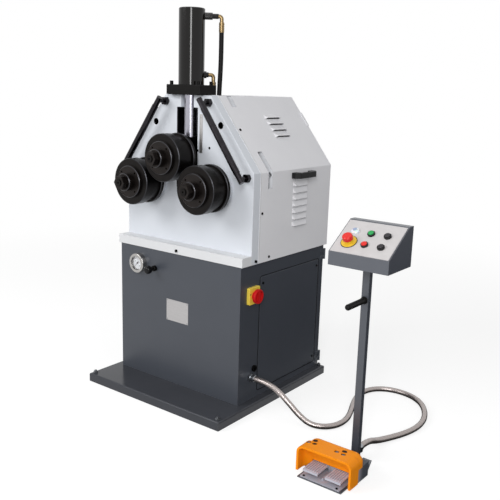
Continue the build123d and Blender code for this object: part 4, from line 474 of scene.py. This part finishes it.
materials = {name: paintedSheet(name, look) for name, look in paints.items()}
materials.update({name: plainMetal(name, look) for name, look in metals.items()})
materials.update({name: mouldedPlastic(name, look) for name, look in plastics.items()})
materials["gaugeGlass"] = clearGlass("gaugeGlass")
for side, centre in axleCentres.items():
    for kind, look in {"TurnedSteel": blackSteel, "ClampSteel": clampSteel}.items():
        materials[side + kind] = turnedBlackSteel(side + kind, {**look, "centre": centre})
print("materials made:", len(materials))

finishes = {
    "trayEnamel": ["base_tray"],
    "cabinetPowder": ["cabinet_shell", "side_panel", "rear_door"],
    "dullZinc": ["levelling_feet"],
    "glandNickel": ["conduit_glands"],
    "ledgeEnamel": ["front_ledge"],
    "blackScrewAndShade": ["black_bolts", "panel_plugs"],
    "plateEnamel": ["front_plate", "shaft_bearings"],
    "frameWhitePaintedLight": ["rear_frame"],
    "hoodPowder": ["hood"],
    "nylonBlack": ["hood_handles", "button_bezels"],
    "glossBlack": ["valve_knob", "gauge_needle"],
    "buttonBlack": ["upper_button", "lower_button"],
    "blackedBar": ["side_bars", "slide_guides", "slide_block"],
    "brushedAluminium": ["blank_plates"],
    "hardChrome": ["piston_rod"],
    "cylinderEnamel": ["cylinder_barrel"],
    "flangePrimer": ["cylinder_flange"],
    "passivatedBrass": ["hose_elbows"],
    "nitrileRubberAndShade": ["hydraulic_hoses", "stand_grip"],
    "leftTurnedSteel": ["left_shaft", "left_roll"],
    "leftClampSteel": ["left_clamp"],
    "rightTurnedSteel": ["right_shaft", "right_roll"],
    "rightClampSteel": ["right_clamp"],
    "topTurnedSteel": ["top_shaft", "top_roll"],
    "topClampSteel": ["top_clamp"],
    "gearSteel": ["left_gear", "right_gear", "drive_pinion"],
    "motorEnamel": ["gearmotor", "hydraulic_unit"],
    "gaugeSteel": ["gauge_case"],
    "gaugeGlass": ["gauge_lens"],
    "switchYellowPaintedLight": ["main_switch_plate"],
    "collarYellow": ["estop_collar"],
    "switchRed": ["main_switch_knob"],
    "stopRed": ["estop_button", "stop_button"],
    "startGreen": ["start_button"],
    "lampWhite": ["power_lamp"],
    "standPowder": ["stand_frame"],
    "consolePowder": ["console_box"],
    "panelPrint": ["console_panel"],
    "pedalCast": ["pedal_base"],
    "padGrey": ["left_pedal", "right_pedal"],
    "guardOrange": ["pedal_guard"],
}
for finish, names in finishes.items():
    for name in names:
        mesh = nodes[name].data
        mesh.materials.clear()
        mesh.materials.append(materials[finish])
print("solids finished:", sum(len(names) for names in finishes.values()))

# Armoured conduit from the cabinet to the foot of the stand
conduitLook = {
    "diameter": 0.025,
    "length": 1.85,
    "pitch": 0.0093,  # braid, along the tube
    "strands": 12,
    "wire": "#B9B0AD",
    "gap": "#625A57",
    "rough": 0.28,
    "metal": 0.9,
    "bump": 0.3,
    "relief": 0.001,
    "route": [
        (0.404, -0.160, 0.152), (0.460, -0.160, 0.152), (0.526, -0.158, 0.1315), (0.588, -0.153, 0.0857),
        (0.640, -0.149, 0.0437), (0.694, -0.145, 0.0174), (0.749, -0.118, 0.0127), (0.784, -0.064, 0.0127),
        (0.788, 0.006, 0.0127), (0.768, 0.078, 0.0127), (0.735, 0.158, 0.0127), (0.706, 0.240, 0.0127),
        (0.697, 0.312, 0.0127), (0.712, 0.376, 0.0127), (0.756, 0.425, 0.0127), (0.826, 0.447, 0.0127),
        (0.904, 0.436, 0.0127), (0.972, 0.391, 0.0127), (1.024, 0.315, 0.0127), (1.056, 0.228, 0.0127),
        (1.062, 0.140, 0.0127), (1.043, 0.054, 0.0127), (1.010, -0.024, 0.0127), (0.988, -0.094, 0.0206),
        (0.982, -0.160, 0.045), (0.982, -0.222, 0.045),
    ],
}


def makeConduit(look):
    data = bpy.data.curves.new("armouredConduit", "CURVE")
    data.dimensions = "3D"
    data.resolution_u = 10
    data.bevel_depth = look["diameter"] / 2
    data.bevel_resolution = 6
    spline = data.splines.new("NURBS")
    spline.points.add(len(look["route"]) - 1)
    for point, place in zip(spline.points, look["route"]):
        point.co = (*place, 1)
    spline.order_u = 3
    spline.use_endpoint_u = True
    conduit = linked("armouredConduit", data)
    data.materials.append(braidedSteel("braidedSteel", look))
    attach(conduit, "machine")
    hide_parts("conduit")


makeConduit(conduitLook)
print("conduit laid")


def meshObject(name, build):
    # A mesh in the machine's frame, drawn by build(bm)
    mesh = bpy.data.meshes.new(name)
    bm = bmesh.new()
    build(bm)
    bmesh.ops.recalc_face_normals(bm, faces=bm.faces)
    bm.to_mesh(mesh)
    bm.free()
    return linked(name, mesh)


def makePiece(name, build, finish, body="machine"):
    # A mesh that rides on a body and is part of the machine
    piece = meshObject(name, build)
    piece.data.materials.append(materials[finish])
    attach(piece, body)
    return piece


def addBox(bm, low, high, turn=None):
    middle = (Vector(low) + Vector(high)) / 2
    size = Vector(high) - Vector(low)
    matrix = Matrix.Translation(middle) @ Matrix.Diagonal((*size, 1))
    if turn is not None:
        matrix = turn @ matrix
    bmesh.ops.create_cube(bm, size=1, matrix=matrix)


def facing(place, way):
    # Frame at a place with its Z along a way
    return Matrix.Translation(place) @ Vector(way).to_track_quat("Z", "Y").to_matrix().to_4x4()


def addTurned(bm, turn, profile, closed=True, segments=40):
    # Rings of (radius, height) about the frame's Z, joined one to the next; a radius of 0 is a point
    rings = []
    for radius, height in profile:
        if radius == 0:
            rings.append([bm.verts.new(turn @ Vector((0, 0, height)))])
            continue
        ring = []
        for i in range(segments):
            angle = 2 * math.pi * i / segments
            spot = Vector((radius * math.cos(angle), radius * math.sin(angle), height))
            ring.append(bm.verts.new(turn @ spot))
        rings.append(ring)
    pairs = list(zip(rings, rings[1:]))
    if closed:
        pairs.append((rings[-1], rings[0]))
    for first, second in pairs:
        for i in range(segments):
            corners = [first[(i - 1) % len(first)], first[i % len(first)], second[i % len(second)],
                       second[(i - 1) % len(second)]]
            bm.faces.new(list(dict.fromkeys(corners)))


# Pressure gauge dial behind the needle, with plain numbers and ticks
dialLook = {
    "centre": (-0.246, -0.258, 0.599),
    "radius": 0.0306,
    "bore": 0.0022,
    "sheet": 0.0004,
    "start": 225,
    "sweep": 270,
    "ticks": 40,
    "major": 10,  # every tenth tick is longer and wider
    "tickEnd": 0.0292,
    "tickStart": 0.0262,
    "tickHalf": 0.0003,
    "majorStart": 0.0232,
    "majorHalf": 0.0006,
    "ink": 0.0001,
    "numbers": ["0", "10", "20", "30", "40"],
    "numberReach": 0.0183,
    "numberSize": 0.0074,
}


def dialTurn(look, share):
    # Frame on the dial at a share of the sweep, X outwards along the dial
    angle = math.radians(look["start"] - share * look["sweep"])
    x, y, z = look["centre"]
    return Matrix.Translation((x, y - look["sheet"], z)) @ Matrix.Rotation(-angle, 4, "Y")


def makeDial(look):
    x, y, z = look["centre"]

    def face(bm):
        bore, radius, sheet = look["bore"], look["radius"], look["sheet"]
        edges = [(bore, 0), (bore, sheet), (radius, sheet), (radius, 0)]
        addTurned(bm, facing(look["centre"], (0, -1, 0)), edges, segments=64)

    def ticks(bm):
        for i in range(look["ticks"] + 1):
            kind = "tick" if i % look["major"] else "major"
            inner, half = look[kind + "Start"], look[kind + "Half"]
            turn = dialTurn(look, i / look["ticks"])
            addBox(bm, (inner, -look["ink"], -half), (look["tickEnd"], 0, half), turn)

    makePiece("gaugeDial", face, "dialWhite")
    makePiece("gaugeTicks", ticks, "printInkAndShade")
    for i, text in enumerate(look["numbers"]):
        curve = bpy.data.curves.new("gaugeNumber" + text, "FONT")
        curve.body = text
        curve.size = look["numberSize"]
        curve.align_x = "CENTER"
        curve.align_y = "CENTER"
        curve.extrude = look["ink"] / 2
        number = linked("gaugeNumber" + text, curve)
        angle = math.radians(look["start"] - i / (len(look["numbers"]) - 1) * look["sweep"])
        number.matrix_world = Matrix.Translation((
            x + look["numberReach"] * math.cos(angle), y - look["sheet"] - look["ink"] / 2,
            z + look["numberReach"] * math.sin(angle),
        )) @ Matrix.Rotation(math.pi / 2, 4, "X")
        curve.materials.append(materials["printInkAndShade"])
        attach(number, "machine")


makeDial(dialLook)
print("gauge dial made")

# Blank position scale beside the slide: ticks only
scaleLook = {
    "left": 0.0755,
    "front": -0.188,
    "bottom": 1.150,
    "top": 1.310,
    "step": 0.005,
    "reaches": {10: 0.011, 5: 0.008, 1: 0.005},  # every tenth, every fifth and the other ticks
    "half": 0.0004,
    "ink": 0.0001,
}


def scaleTicks(bm):
    look = scaleLook
    left, front = look["left"], look["front"]
    count = round((look["top"] - look["bottom"]) / look["step"])
    for i in range(count + 1):
        reach = next(size for every, size in look["reaches"].items() if i % every == 0)
        z = look["bottom"] + i * look["step"]
        addBox(bm, (left, front - look["ink"], z - look["half"]), (left + reach, front, z + look["half"]))


makePiece("scaleTicks", scaleTicks, "printInkAndShade")

# Blank data plate: drive rivets in its corners
rivetLook = {
    "centre": (0.002, 0.4035),
    "apart": (0.124, 0.091),
    "front": -0.247,
    "dome": [(0.0024, 0), (0.0022, 0.0006), (0.0013, 0.0011), (0, 0.0013)],
}


def plateRivets(bm):
    for sx in (-0.5, 0.5):
        for sz in (-0.5, 0.5):
            x = rivetLook["centre"][0] + sx * rivetLook["apart"][0]
            z = rivetLook["centre"][1] + sz * rivetLook["apart"][1]
            place = facing((x, rivetLook["front"], z), (0, -1, 0))
            addTurned(bm, place, rivetLook["dome"], closed=False, segments=12)


makePiece("plateRivets", plateRivets, "dullZinc")
print("plates detailed")

# Bores of the front plate, unpainted and oiled, lined with a dark film of painted shade: (x, z, radius)
boreLook = {
    "front": -0.187,
    "places": [(-0.194, 1.271, 0.015), (0.194, 1.271, 0.015), (0.132, 1.170, 0.006)],
    "depth": 0.0475,
    "gap": 0.0001,  # between the film and the plate
    "film": 0.0006,
    "mouth": (0.0002, 0.0008),  # how deep the film begins, at the plate and inside
}


def plateBoreShade(bm):
    for x, z, radius in boreLook["places"]:
        outer = radius - boreLook["gap"]
        inner = outer - boreLook["film"]
        end = boreLook["depth"]
        start, step = boreLook["mouth"]
        walls = [(outer, -start), (outer, -end), (inner, -end), (inner, -step)]
        addTurned(bm, facing((x, boreLook["front"], z), (0, -1, 0)), walls)


makePiece("plateBoreShade", plateBoreShade, "blackScrewAndShade")

# Hem along the hood's front edge, where the sheet laps the plate: half outline from the foot to the crown
hemLook = {
    # y, how far out
    "section": [(-0.1389, -0.0005), (-0.1389, 0.0020), (-0.1360, 0.0020), (-0.1320, 0.0002)],
    "corners": [(0.382, 0.682), (0.382, 1.078), (0.1334, 1.3965), (0.099, 1.3965)],
    "leans": [(1, 0), (1, 0.344), (0.487, 1), (0, 1)],  # way out at each corner, for one unit of offset
}


def hoodHem(bm):
    for side in (-1, 1):
        rails = []
        for y, offset in hemLook["section"]:
            rail = []
            for (x, z), (dx, dz) in zip(hemLook["corners"], hemLook["leans"]):
                rail.append(bm.verts.new((side * (x + offset * dx), y, z + offset * dz)))
            rails.append(rail)
        for first, second in zip(rails, rails[1:] + rails[:1]):
            for i in range(len(first) - 1):
                bm.faces.new((first[i], first[i + 1], second[i + 1], second[i]))
        for end in (0, -1):
            bm.faces.new([rail[end] for rail in rails])


makePiece("hoodHem", hoodHem, "ledgeEnamel")

# Crimp rings on the hose ferrules and rubber grommets where the hoses enter the hood
hoseLook = {
    # place, top, bottom
    "ferrules": [((0.09811, -0.07771), 1.709, 1.667), ((0.0693, -0.0937), 1.455, 1.419)],
    "crimp": [(0.0114, -0.0022), (0.0124, -0.0012), (0.0124, 0.0012), (0.0114, 0.0022)],
    "crimps": 4,
    "margin": 0.7,  # from a ferrule's end to its first crimp, in steps of the crimps
    "grommets": [(0.092, -0.080), (0.0693, -0.0937)],
    "grommet": [(0.0152, 1.3962), (0.0152, 1.3935), (0.0122, 1.3935), (0.0118, 1.3962), (0.0132, 1.3963)],
}


def ferruleCrimps(bm):
    margin = hoseLook["margin"]
    steps = hoseLook["crimps"] - 1 + 2 * margin
    for place, top, bottom in hoseLook["ferrules"]:
        for i in range(hoseLook["crimps"]):
            z = top + (bottom - top) * (i + margin) / steps
            addTurned(bm, Matrix.Translation((*place, z)), hoseLook["crimp"], segments=28)


def hoseGrommets(bm):
    for place in hoseLook["grommets"]:
        addTurned(bm, Matrix.Translation((*place, 0)), hoseLook["grommet"], segments=32)


makePiece("ferruleCrimps", ferruleCrimps, "passivatedBrass")
makePiece("hoseGrommets", hoseGrommets, "nitrileRubberAndShade")
print("head detailed")

# Console: frosted lens of the lamp and the black gasket under the emergency stop's collar
consoleLook = {
    "corner": (0.858, -0.347, 0.850),  # lower left of the slope
    "out": (0, -0.5584, 0.8296),
    "panel": 0.002,
    "lamp": (0.057, 0.116),
    "lens": [(0.0083, 0.0129), (0.0083, 0.0136), (0.0070, 0.0146), (0.0040, 0.0152), (0, 0.0154)],
    "stop": (0.057, 0.060),
    "gasket": [(0.0299, 0.0001), (0.0325, 0.0001), (0.0325, 0.0014), (0.0299, 0.0018)],
}


def onPanel(spot):
    out = Vector(consoleLook["out"])
    across = Vector((1, 0, 0))
    up = out.cross(across)
    place = Vector(consoleLook["corner"]) + spot[0] * across + spot[1] * up + consoleLook["panel"] * out
    return Matrix.Translation(place) @ Matrix((across, up, out)).transposed().to_4x4()


def lampLens(bm):
    addTurned(bm, onPanel(consoleLook["lamp"]), consoleLook["lens"], closed=False)


def stopGasket(bm):
    addTurned(bm, onPanel(consoleLook["stop"]), consoleLook["gasket"], segments=64)


makePiece("lampLens", lampLens, "lampLens")
makePiece("stopGasket", stopGasket, "nylonBlack")

# Pedal guard: button-head screws in the recesses of its top, and black plugs and washers on the
# recess floors, whose black is painted shade in the recesses
guardLook = {
    "floor": 0.1125,
    "screws": [(0.873, -0.440), (0.994, -0.436), (1.024, -0.439)],
    "screw": [
        (0, 0.0012), (0.0022, 0.0012), (0.0022, 0.0030), (0.0042, 0.0028), (0.0058, 0.0014), (0.0061, 0),
    ],
    "plugs": [(0.886, -0.413), (0.898, -0.438), (1.015, -0.414)],
    "plug": [(0, 0.0018), (0.0060, 0.0020), (0.0092, 0.0012), (0.0102, 0)],
    "washer": [(0.0062, 0.0001), (0.0062, 0.0008), (0.0096, 0.0007), (0.0102, 0.0001)],
}


def inRecess(place):
    return Matrix.Translation((*place, guardLook["floor"]))


def guardScrews(bm):
    for place in guardLook["screws"]:
        addTurned(bm, inRecess(place), guardLook["screw"], closed=False, segments=28)


# Black plugs and washers on the recess floors, painted shade in the recesses
def guardRecessShade(bm):
    for place in guardLook["plugs"]:
        addTurned(bm, inRecess(place), guardLook["plug"], closed=False, segments=28)
    for place in guardLook["screws"]:
        addTurned(bm, inRecess(place), guardLook["washer"], segments=32)


# Pedal guard: a thin arch over the toes, a wall behind them and a rounded hood over the hinge
shellLook = {
    "centre": 0.967,
    "front": -0.488,
    "middle": -0.428,
    "back": -0.372,
    "half": 0.1185,
    "bottom": 0.012,
    "top": 0.117,
    "corner": 0.030,
    "thickness": 0.009,
    "toeWall": (-0.4225, -0.4175),  # y of its face and its back
    "toeCorner": 0.036,
    "toeBottom": 0.0395,
    "toeHalf": 0.1055,
    "toeLap": -0.436,  # how far forward it laps the legs
    "cheek": 0.0845,  # where the cheeks end, from the middle
    "hoodHalf": 0.113,
    "hoodBottom": 0.062,
    "hoodTop": 0.1145,
    "hoodCorner": 0.034,
    "hoodBow": 0.024,
    "sideBow": 0.7,  # share of the bow that the hood's sides take
    "cornerBow": 0.5,  # and its corners
    "lap": 0.004,
    "recess": (0.0105, 0.01),  # radius and height of the core that cuts it
    "sharp": 0.6,  # edges that turn more than this are rounded, radians
    "edge": 0.0012,
    "steps": 14,
}


def quarter(centre, radius, start, steps):
    # Quarter circle of points, clockwise from an angle in quarter turns
    turns = [math.pi / 2 * (start - i / steps) for i in range(steps + 1)]
    return [(centre[0] + radius * math.cos(turn), centre[1] + radius * math.sin(turn)) for turn in turns]


def archLine(half, bottom, top, corner, steps):
    rise = top - corner
    left = quarter((corner - half, rise), corner, 2, steps)
    right = quarter((half - corner, rise), corner, 1, steps)
    return [(-half, bottom), *left, *right, (half, bottom)]


def joinLoops(bm, loops, capped):
    # Loops of places joined one to the next, ending in caps or in the first loop again
    rings = [[bm.verts.new(place) for place in loop] for loop in loops]
    for first, second in zip(rings, rings[1:] if capped else rings[1:] + rings[:1]):
        for i in range(len(first) if capped else len(first) - 1):
            j = (i + 1) % len(first)
            bm.faces.new((first[i], first[j], second[j], second[i]))
    if capped:
        bm.faces.new(rings[0])
        bm.faces.new(rings[-1])
    else:
        bm.faces.new([ring[0] for ring in rings])
        bm.faces.new([ring[-1] for ring in rings])


def guardShell(bm):
    look = shellLook
    steps = look["steps"]
    inside = look["half"] - look["thickness"]
    crown = look["top"] - look["thickness"]
    outer = archLine(look["half"], look["bottom"], look["top"], look["corner"], steps)
    inner = archLine(inside, look["bottom"], crown, look["corner"] - look["thickness"], steps)
    stations = ((outer, "front"), (outer, "middle"), (inner, "middle"), (inner, "front"))
    joinLoops(bm, [
        [(look["centre"] + x, look[station], z) for x, z in line] for line, station in stations
    ], capped=False)

    # Toe wall above the pads, and its cheeks beside them down to the floor
    bend = look["toeCorner"]
    face, rear = look["toeWall"]
    left = quarter((bend - inside, face - bend), bend, 2, steps)
    left = [(-look["toeHalf"], rear), (-look["toeHalf"], look["toeLap"]), (-inside, look["toeLap"]), *left]
    wall = left + [(-x, y) for x, y in reversed(left)]
    cheek = [(x, y) for x, y in left if x < -look["cheek"]]
    cheek += [(-look["cheek"], cheek[-1][1]), (-look["cheek"], rear)]
    for plan, low, high in (
        (wall, look["toeBottom"], crown),
        (cheek, look["bottom"], look["toeBottom"]),
        ([(-x, y) for x, y in cheek], look["bottom"], look["toeBottom"]),
    ):
        joinLoops(bm, [[(look["centre"] + x, y, z) for x, y in plan] for z in (low, high)], capped=True)

    # Hood behind the wall, bowed in towards its back
    bow = look["hoodBow"]
    loops = [(look["middle"] - look["lap"], 0)]
    for i in range(steps + 1):
        turn = math.pi / 2 * i / steps
        loops.append((look["back"] - bow * (1 - math.sin(turn)), bow * (1 - math.cos(turn))))
    joinLoops(bm, [
        [(look["centre"] + x, y, z) for x, z in archLine(
            look["hoodHalf"] - look["sideBow"] * inset, look["hoodBottom"], look["hoodTop"] - inset,
            look["hoodCorner"] - look["cornerBow"] * inset, steps,
        )]
        for y, inset in loops
    ], capped=True)
    bmesh.ops.recalc_face_normals(bm, faces=bm.faces)
    sharp = [edge for edge in bm.edges if edge.calc_face_angle(0) > look["sharp"]]
    bmesh.ops.bevel(bm, geom=sharp, offset=look["edge"], segments=2, affect="EDGES", clamp_overlap=True)


def recessCores(bm):
    radius, height = shellLook["recess"]
    core = [(0, 0), (radius, 0), (radius, height), (0, height)]
    for place in guardLook["screws"] + guardLook["plugs"]:
        addTurned(bm, inRecess(place), core, closed=False)


def cutRecesses(shell):
    cores = meshObject("recessCores", recessCores)
    cut = shell.modifiers.new("recesses", "BOOLEAN")
    cut.object = cores
    cut.use_self = True
    graph = bpy.context.evaluated_depsgraph_get()
    shell.data = bpy.data.meshes.new_from_object(shell.evaluated_get(graph))
    shell.modifiers.clear()
    bpy.data.objects.remove(cores)


shell = makePiece("guardShell", guardShell, "guardOrange")
cutRecesses(shell)
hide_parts("pedal_guard")
makePiece("guardScrews", guardScrews, "dullZinc")
makePiece("guardRecessShade", guardRecessShade, "nitrileRubberAndShade")

# Grey strips in the grooves between the pads' ribs, darker than the pads: painted shade
grooveLook = {
    "lefts": {"left_foot_pedal": 0.885, "right_foot_pedal": 0.983},
    "front": (-0.496, 0.032),
    "slope": math.atan2(4, 104),
    "margin": 0.003,
    "rib": 0.003,
    "pitch": 0.0095,
    "gap": 0.0004,  # beside each rib
    "height": 0.0003,
    "count": 6,
    "ends": (0.009, 0.095),
}


def makeGrooves(look):
    for body, left in look["lefts"].items():
        turn = Matrix.Translation((left, *look["front"])) @ Matrix.Rotation(look["slope"], 4, "X")

        def strips(bm):
            front, back = look["ends"]
            for i in range(look["count"]):
                start = look["margin"] + look["rib"] + i * look["pitch"] + look["gap"]
                end = start + look["pitch"] - look["rib"] - 2 * look["gap"]
                addBox(bm, (start, front, 0), (end, back, look["height"]), turn)

        makePiece(body.split("_")[0] + "PadGrooveShade", strips, "grooveShadeGrey", body)


makeGrooves(grooveLook)

# Padlock eyelet in the main switch's plate
eyeletLook = {
    "place": (0.386, -0.190, 0.550),
    "ring": [(0.0016, 0.0001), (0.0016, 0.0007), (0.0026, 0.0010), (0.0034, 0.0001)],
}


def switchEyelet(bm):
    addTurned(bm, facing(eyeletLook["place"], (1, 0, 0)), eyeletLook["ring"], segments=24)


makePiece("switchEyelet", switchEyelet, "nylonBlack")

# Black bead round the side panel, in the rubber finish, darkening its seam: painted shade of the gap
seamShadeLook = {
    "face": 0.372,
    "middle": (0.141, 0.3415),
    "half": (0.2447, 0.2712),
    "corner": 0.0112,
    "bead": [(0, 0), (0.0006, 0.0014), (0.0026, 0.0014), (0.0034, 0)],  # inwards, outwards from the cabinet
    "steps": 6,
}


def panelSeamShade(bm):
    y, z = seamShadeLook["middle"]
    width = seamShadeLook["bead"][-1][0]
    halfY, halfZ = (half + width for half in seamShadeLook["half"])
    rings = []
    for inset, rise in seamShadeLook["bead"]:
        radius = seamShadeLook["corner"] + width - inset
        acrossY, acrossZ = halfY - inset - radius, halfZ - inset - radius
        line = []
        for turn, (wayY, wayZ) in enumerate(((1, 1), (1, -1), (-1, -1), (-1, 1))):
            line += quarter((y + wayY * acrossY, z + wayZ * acrossZ), radius, 1 - turn, seamShadeLook["steps"])
        rings.append([bm.verts.new((seamShadeLook["face"] + rise, *spot)) for spot in line])
    for first, second in zip(rings, rings[1:] + rings[:1]):
        for i in range(len(first)):
            bm.faces.new((first[i - 1], first[i], second[i], second[i - 1]))


makePiece("panelSeamShade", panelSeamShade, "nitrileRubberAndShade")

# Key slot of the rear door's lock, a thin dark sheet on the door: painted shade where the slot opens
lockLook = {"place": (-0.325, 0.438, 0.359), "slot": (0.0013, 0.0003, 0.007)}


def lockSlot(bm):
    x, y, z = lockLook["place"]
    dx, dy, dz = lockLook["slot"]
    addBox(bm, (x - dx, y, z - dz), (x + dx, y + dy, z + dz))


makePiece("lockSlot", lockSlot, "printInkAndShade", "door")
print("stand and door detailed")

# Studio: white paper floor, a tall softbox by the camera, a wide one to the left, a weak one above, an even
# sky and a black cloth at the right, which only gloss sees
studio = {
    "floor": 14,  # radius
    "middle": (0.3, 0, -0.0005),
    "fade": (1.6, 4.5),  # radii between which it turns plain white
    "paper": "#A8A8A8",  # what the floor throws back at the machine
    "glow": 0.72,  # how white the floor is by itself near the machine
    "shade": 0.38,  # and how much of its own shading is added there
    "sky": 0.38,
    "aim": (0.2, 0, 0.8),
    "lamps": {  # power, place, width, height
        "keyLight": (142, (2.9, -4.3, 2.6), 1.0, 2.8),
        "leftLight": (121, (-2.3, -4.2, 3.4), 3, 2.2),
        "topLight": (16, (0.9, -0.6, 4.6), 3, 3),
    },
    "cloth": ((0.46, -0.45), (7, 9)),  # near left and far right corner
    "velvet": "#1A1A1B",
}


def seenRays(tree):
    # 1 for rays from the camera and for those that gloss or glass sends on
    rays = addNode(tree, "LightPath")
    seen = addNode(tree, "Math", {
        0: (rays, "Is Camera Ray"), 1: (rays, "Is Glossy Ray"),
    }, operation="MAXIMUM")
    return addNode(tree, "Math", {0: (seen, 0), 1: (rays, "Is Transmission Ray")}, operation="MAXIMUM")


def makeStudio(look):
    floor = meshObject("studioFloor", lambda bm: bmesh.ops.create_circle(
        bm, cap_ends=True, segments=96, radius=look["floor"], matrix=Matrix.Translation(look["middle"]),
    ))
    material, tree = newMaterial("whitePaperFloor")
    place = addNode(tree, "TexCoord")
    reach = addNode(tree, "VectorMath", {0: (place, "Object")}, operation="LENGTH")
    far = addNode(tree, "MapRange", {
        "Value": (reach, "Value"), "From Min": look["fade"][0], "From Max": look["fade"][1],
    }, interpolation_type="SMOOTHSTEP")
    shade = look["shade"]
    bounced = addNode(tree, "BsdfDiffuse", {"Color": linear(look["paper"])})
    shaded = addNode(tree, "BsdfDiffuse", {"Color": (shade, shade, shade, 1)})
    glow = addNode(tree, "Emission", {"Color": (1, 1, 1, 1), "Strength": look["glow"]})
    near = addNode(tree, "AddShader", {0: (glow, "Emission"), 1: (shaded, "BSDF")})
    white = addNode(tree, "Emission", {"Color": (1, 1, 1, 1), "Strength": 1})
    shown = addNode(tree, "MixShader", {0: (far, "Result"), 1: (near, "Shader"), 2: (white, "Emission")})
    mixed = addNode(tree, "MixShader", {0: (seenRays(tree), 0), 1: (bounced, "BSDF"), 2: (shown, "Shader")})
    addNode(tree, "OutputMaterial", {"Surface": (mixed, "Shader")})
    floor.data.materials.append(material)

    (left, front), (right, back) = look["cloth"]
    corners = [(left, front, 0), (right, front, 0), (right, back, 0), (left, back, 0)]
    cloth = meshObject("blackCloth", lambda bm: bm.faces.new([bm.verts.new(corner) for corner in corners]))
    cloth.visible_camera = cloth.visible_diffuse = cloth.visible_shadow = cloth.visible_transmission = False
    material, tree = newMaterial("blackVelvet")
    pile = addNode(tree, "BsdfDiffuse", {"Color": linear(look["velvet"])})
    addNode(tree, "OutputMaterial", {"Surface": (pile, "BSDF")})
    cloth.data.materials.append(material)

    world = bpy.data.worlds.new("evenSky")
    world.use_nodes = True
    tree = world.node_tree
    tree.nodes.clear()
    light = addNode(tree, "Background", {"Color": (1, 1, 1, 1), "Strength": look["sky"]})
    white = addNode(tree, "Background", {"Color": (1, 1, 1, 1), "Strength": 1})
    mixed = addNode(tree, "MixShader", {
        0: (seenRays(tree), 0), 1: (light, "Background"), 2: (white, "Background"),
    })
    addNode(tree, "OutputWorld", {"Surface": (mixed, "Shader")})
    bpy.context.scene.world = world

    for name, (power, place, width, height) in look["lamps"].items():
        data = bpy.data.lights.new(name, "AREA")
        data.shape = "RECTANGLE"
        data.energy = power
        data.size = width
        data.size_y = height
        lamp = linked(name, data)
        aim = Vector(look["aim"]) - Vector(place)
        lamp.matrix_world = Matrix.Translation(place) @ aim.to_track_quat("-Z", "Y").to_matrix().to_4x4()


makeStudio(studio)
bpy.context.scene.view_settings.view_transform = "Standard"
print("studio lit")
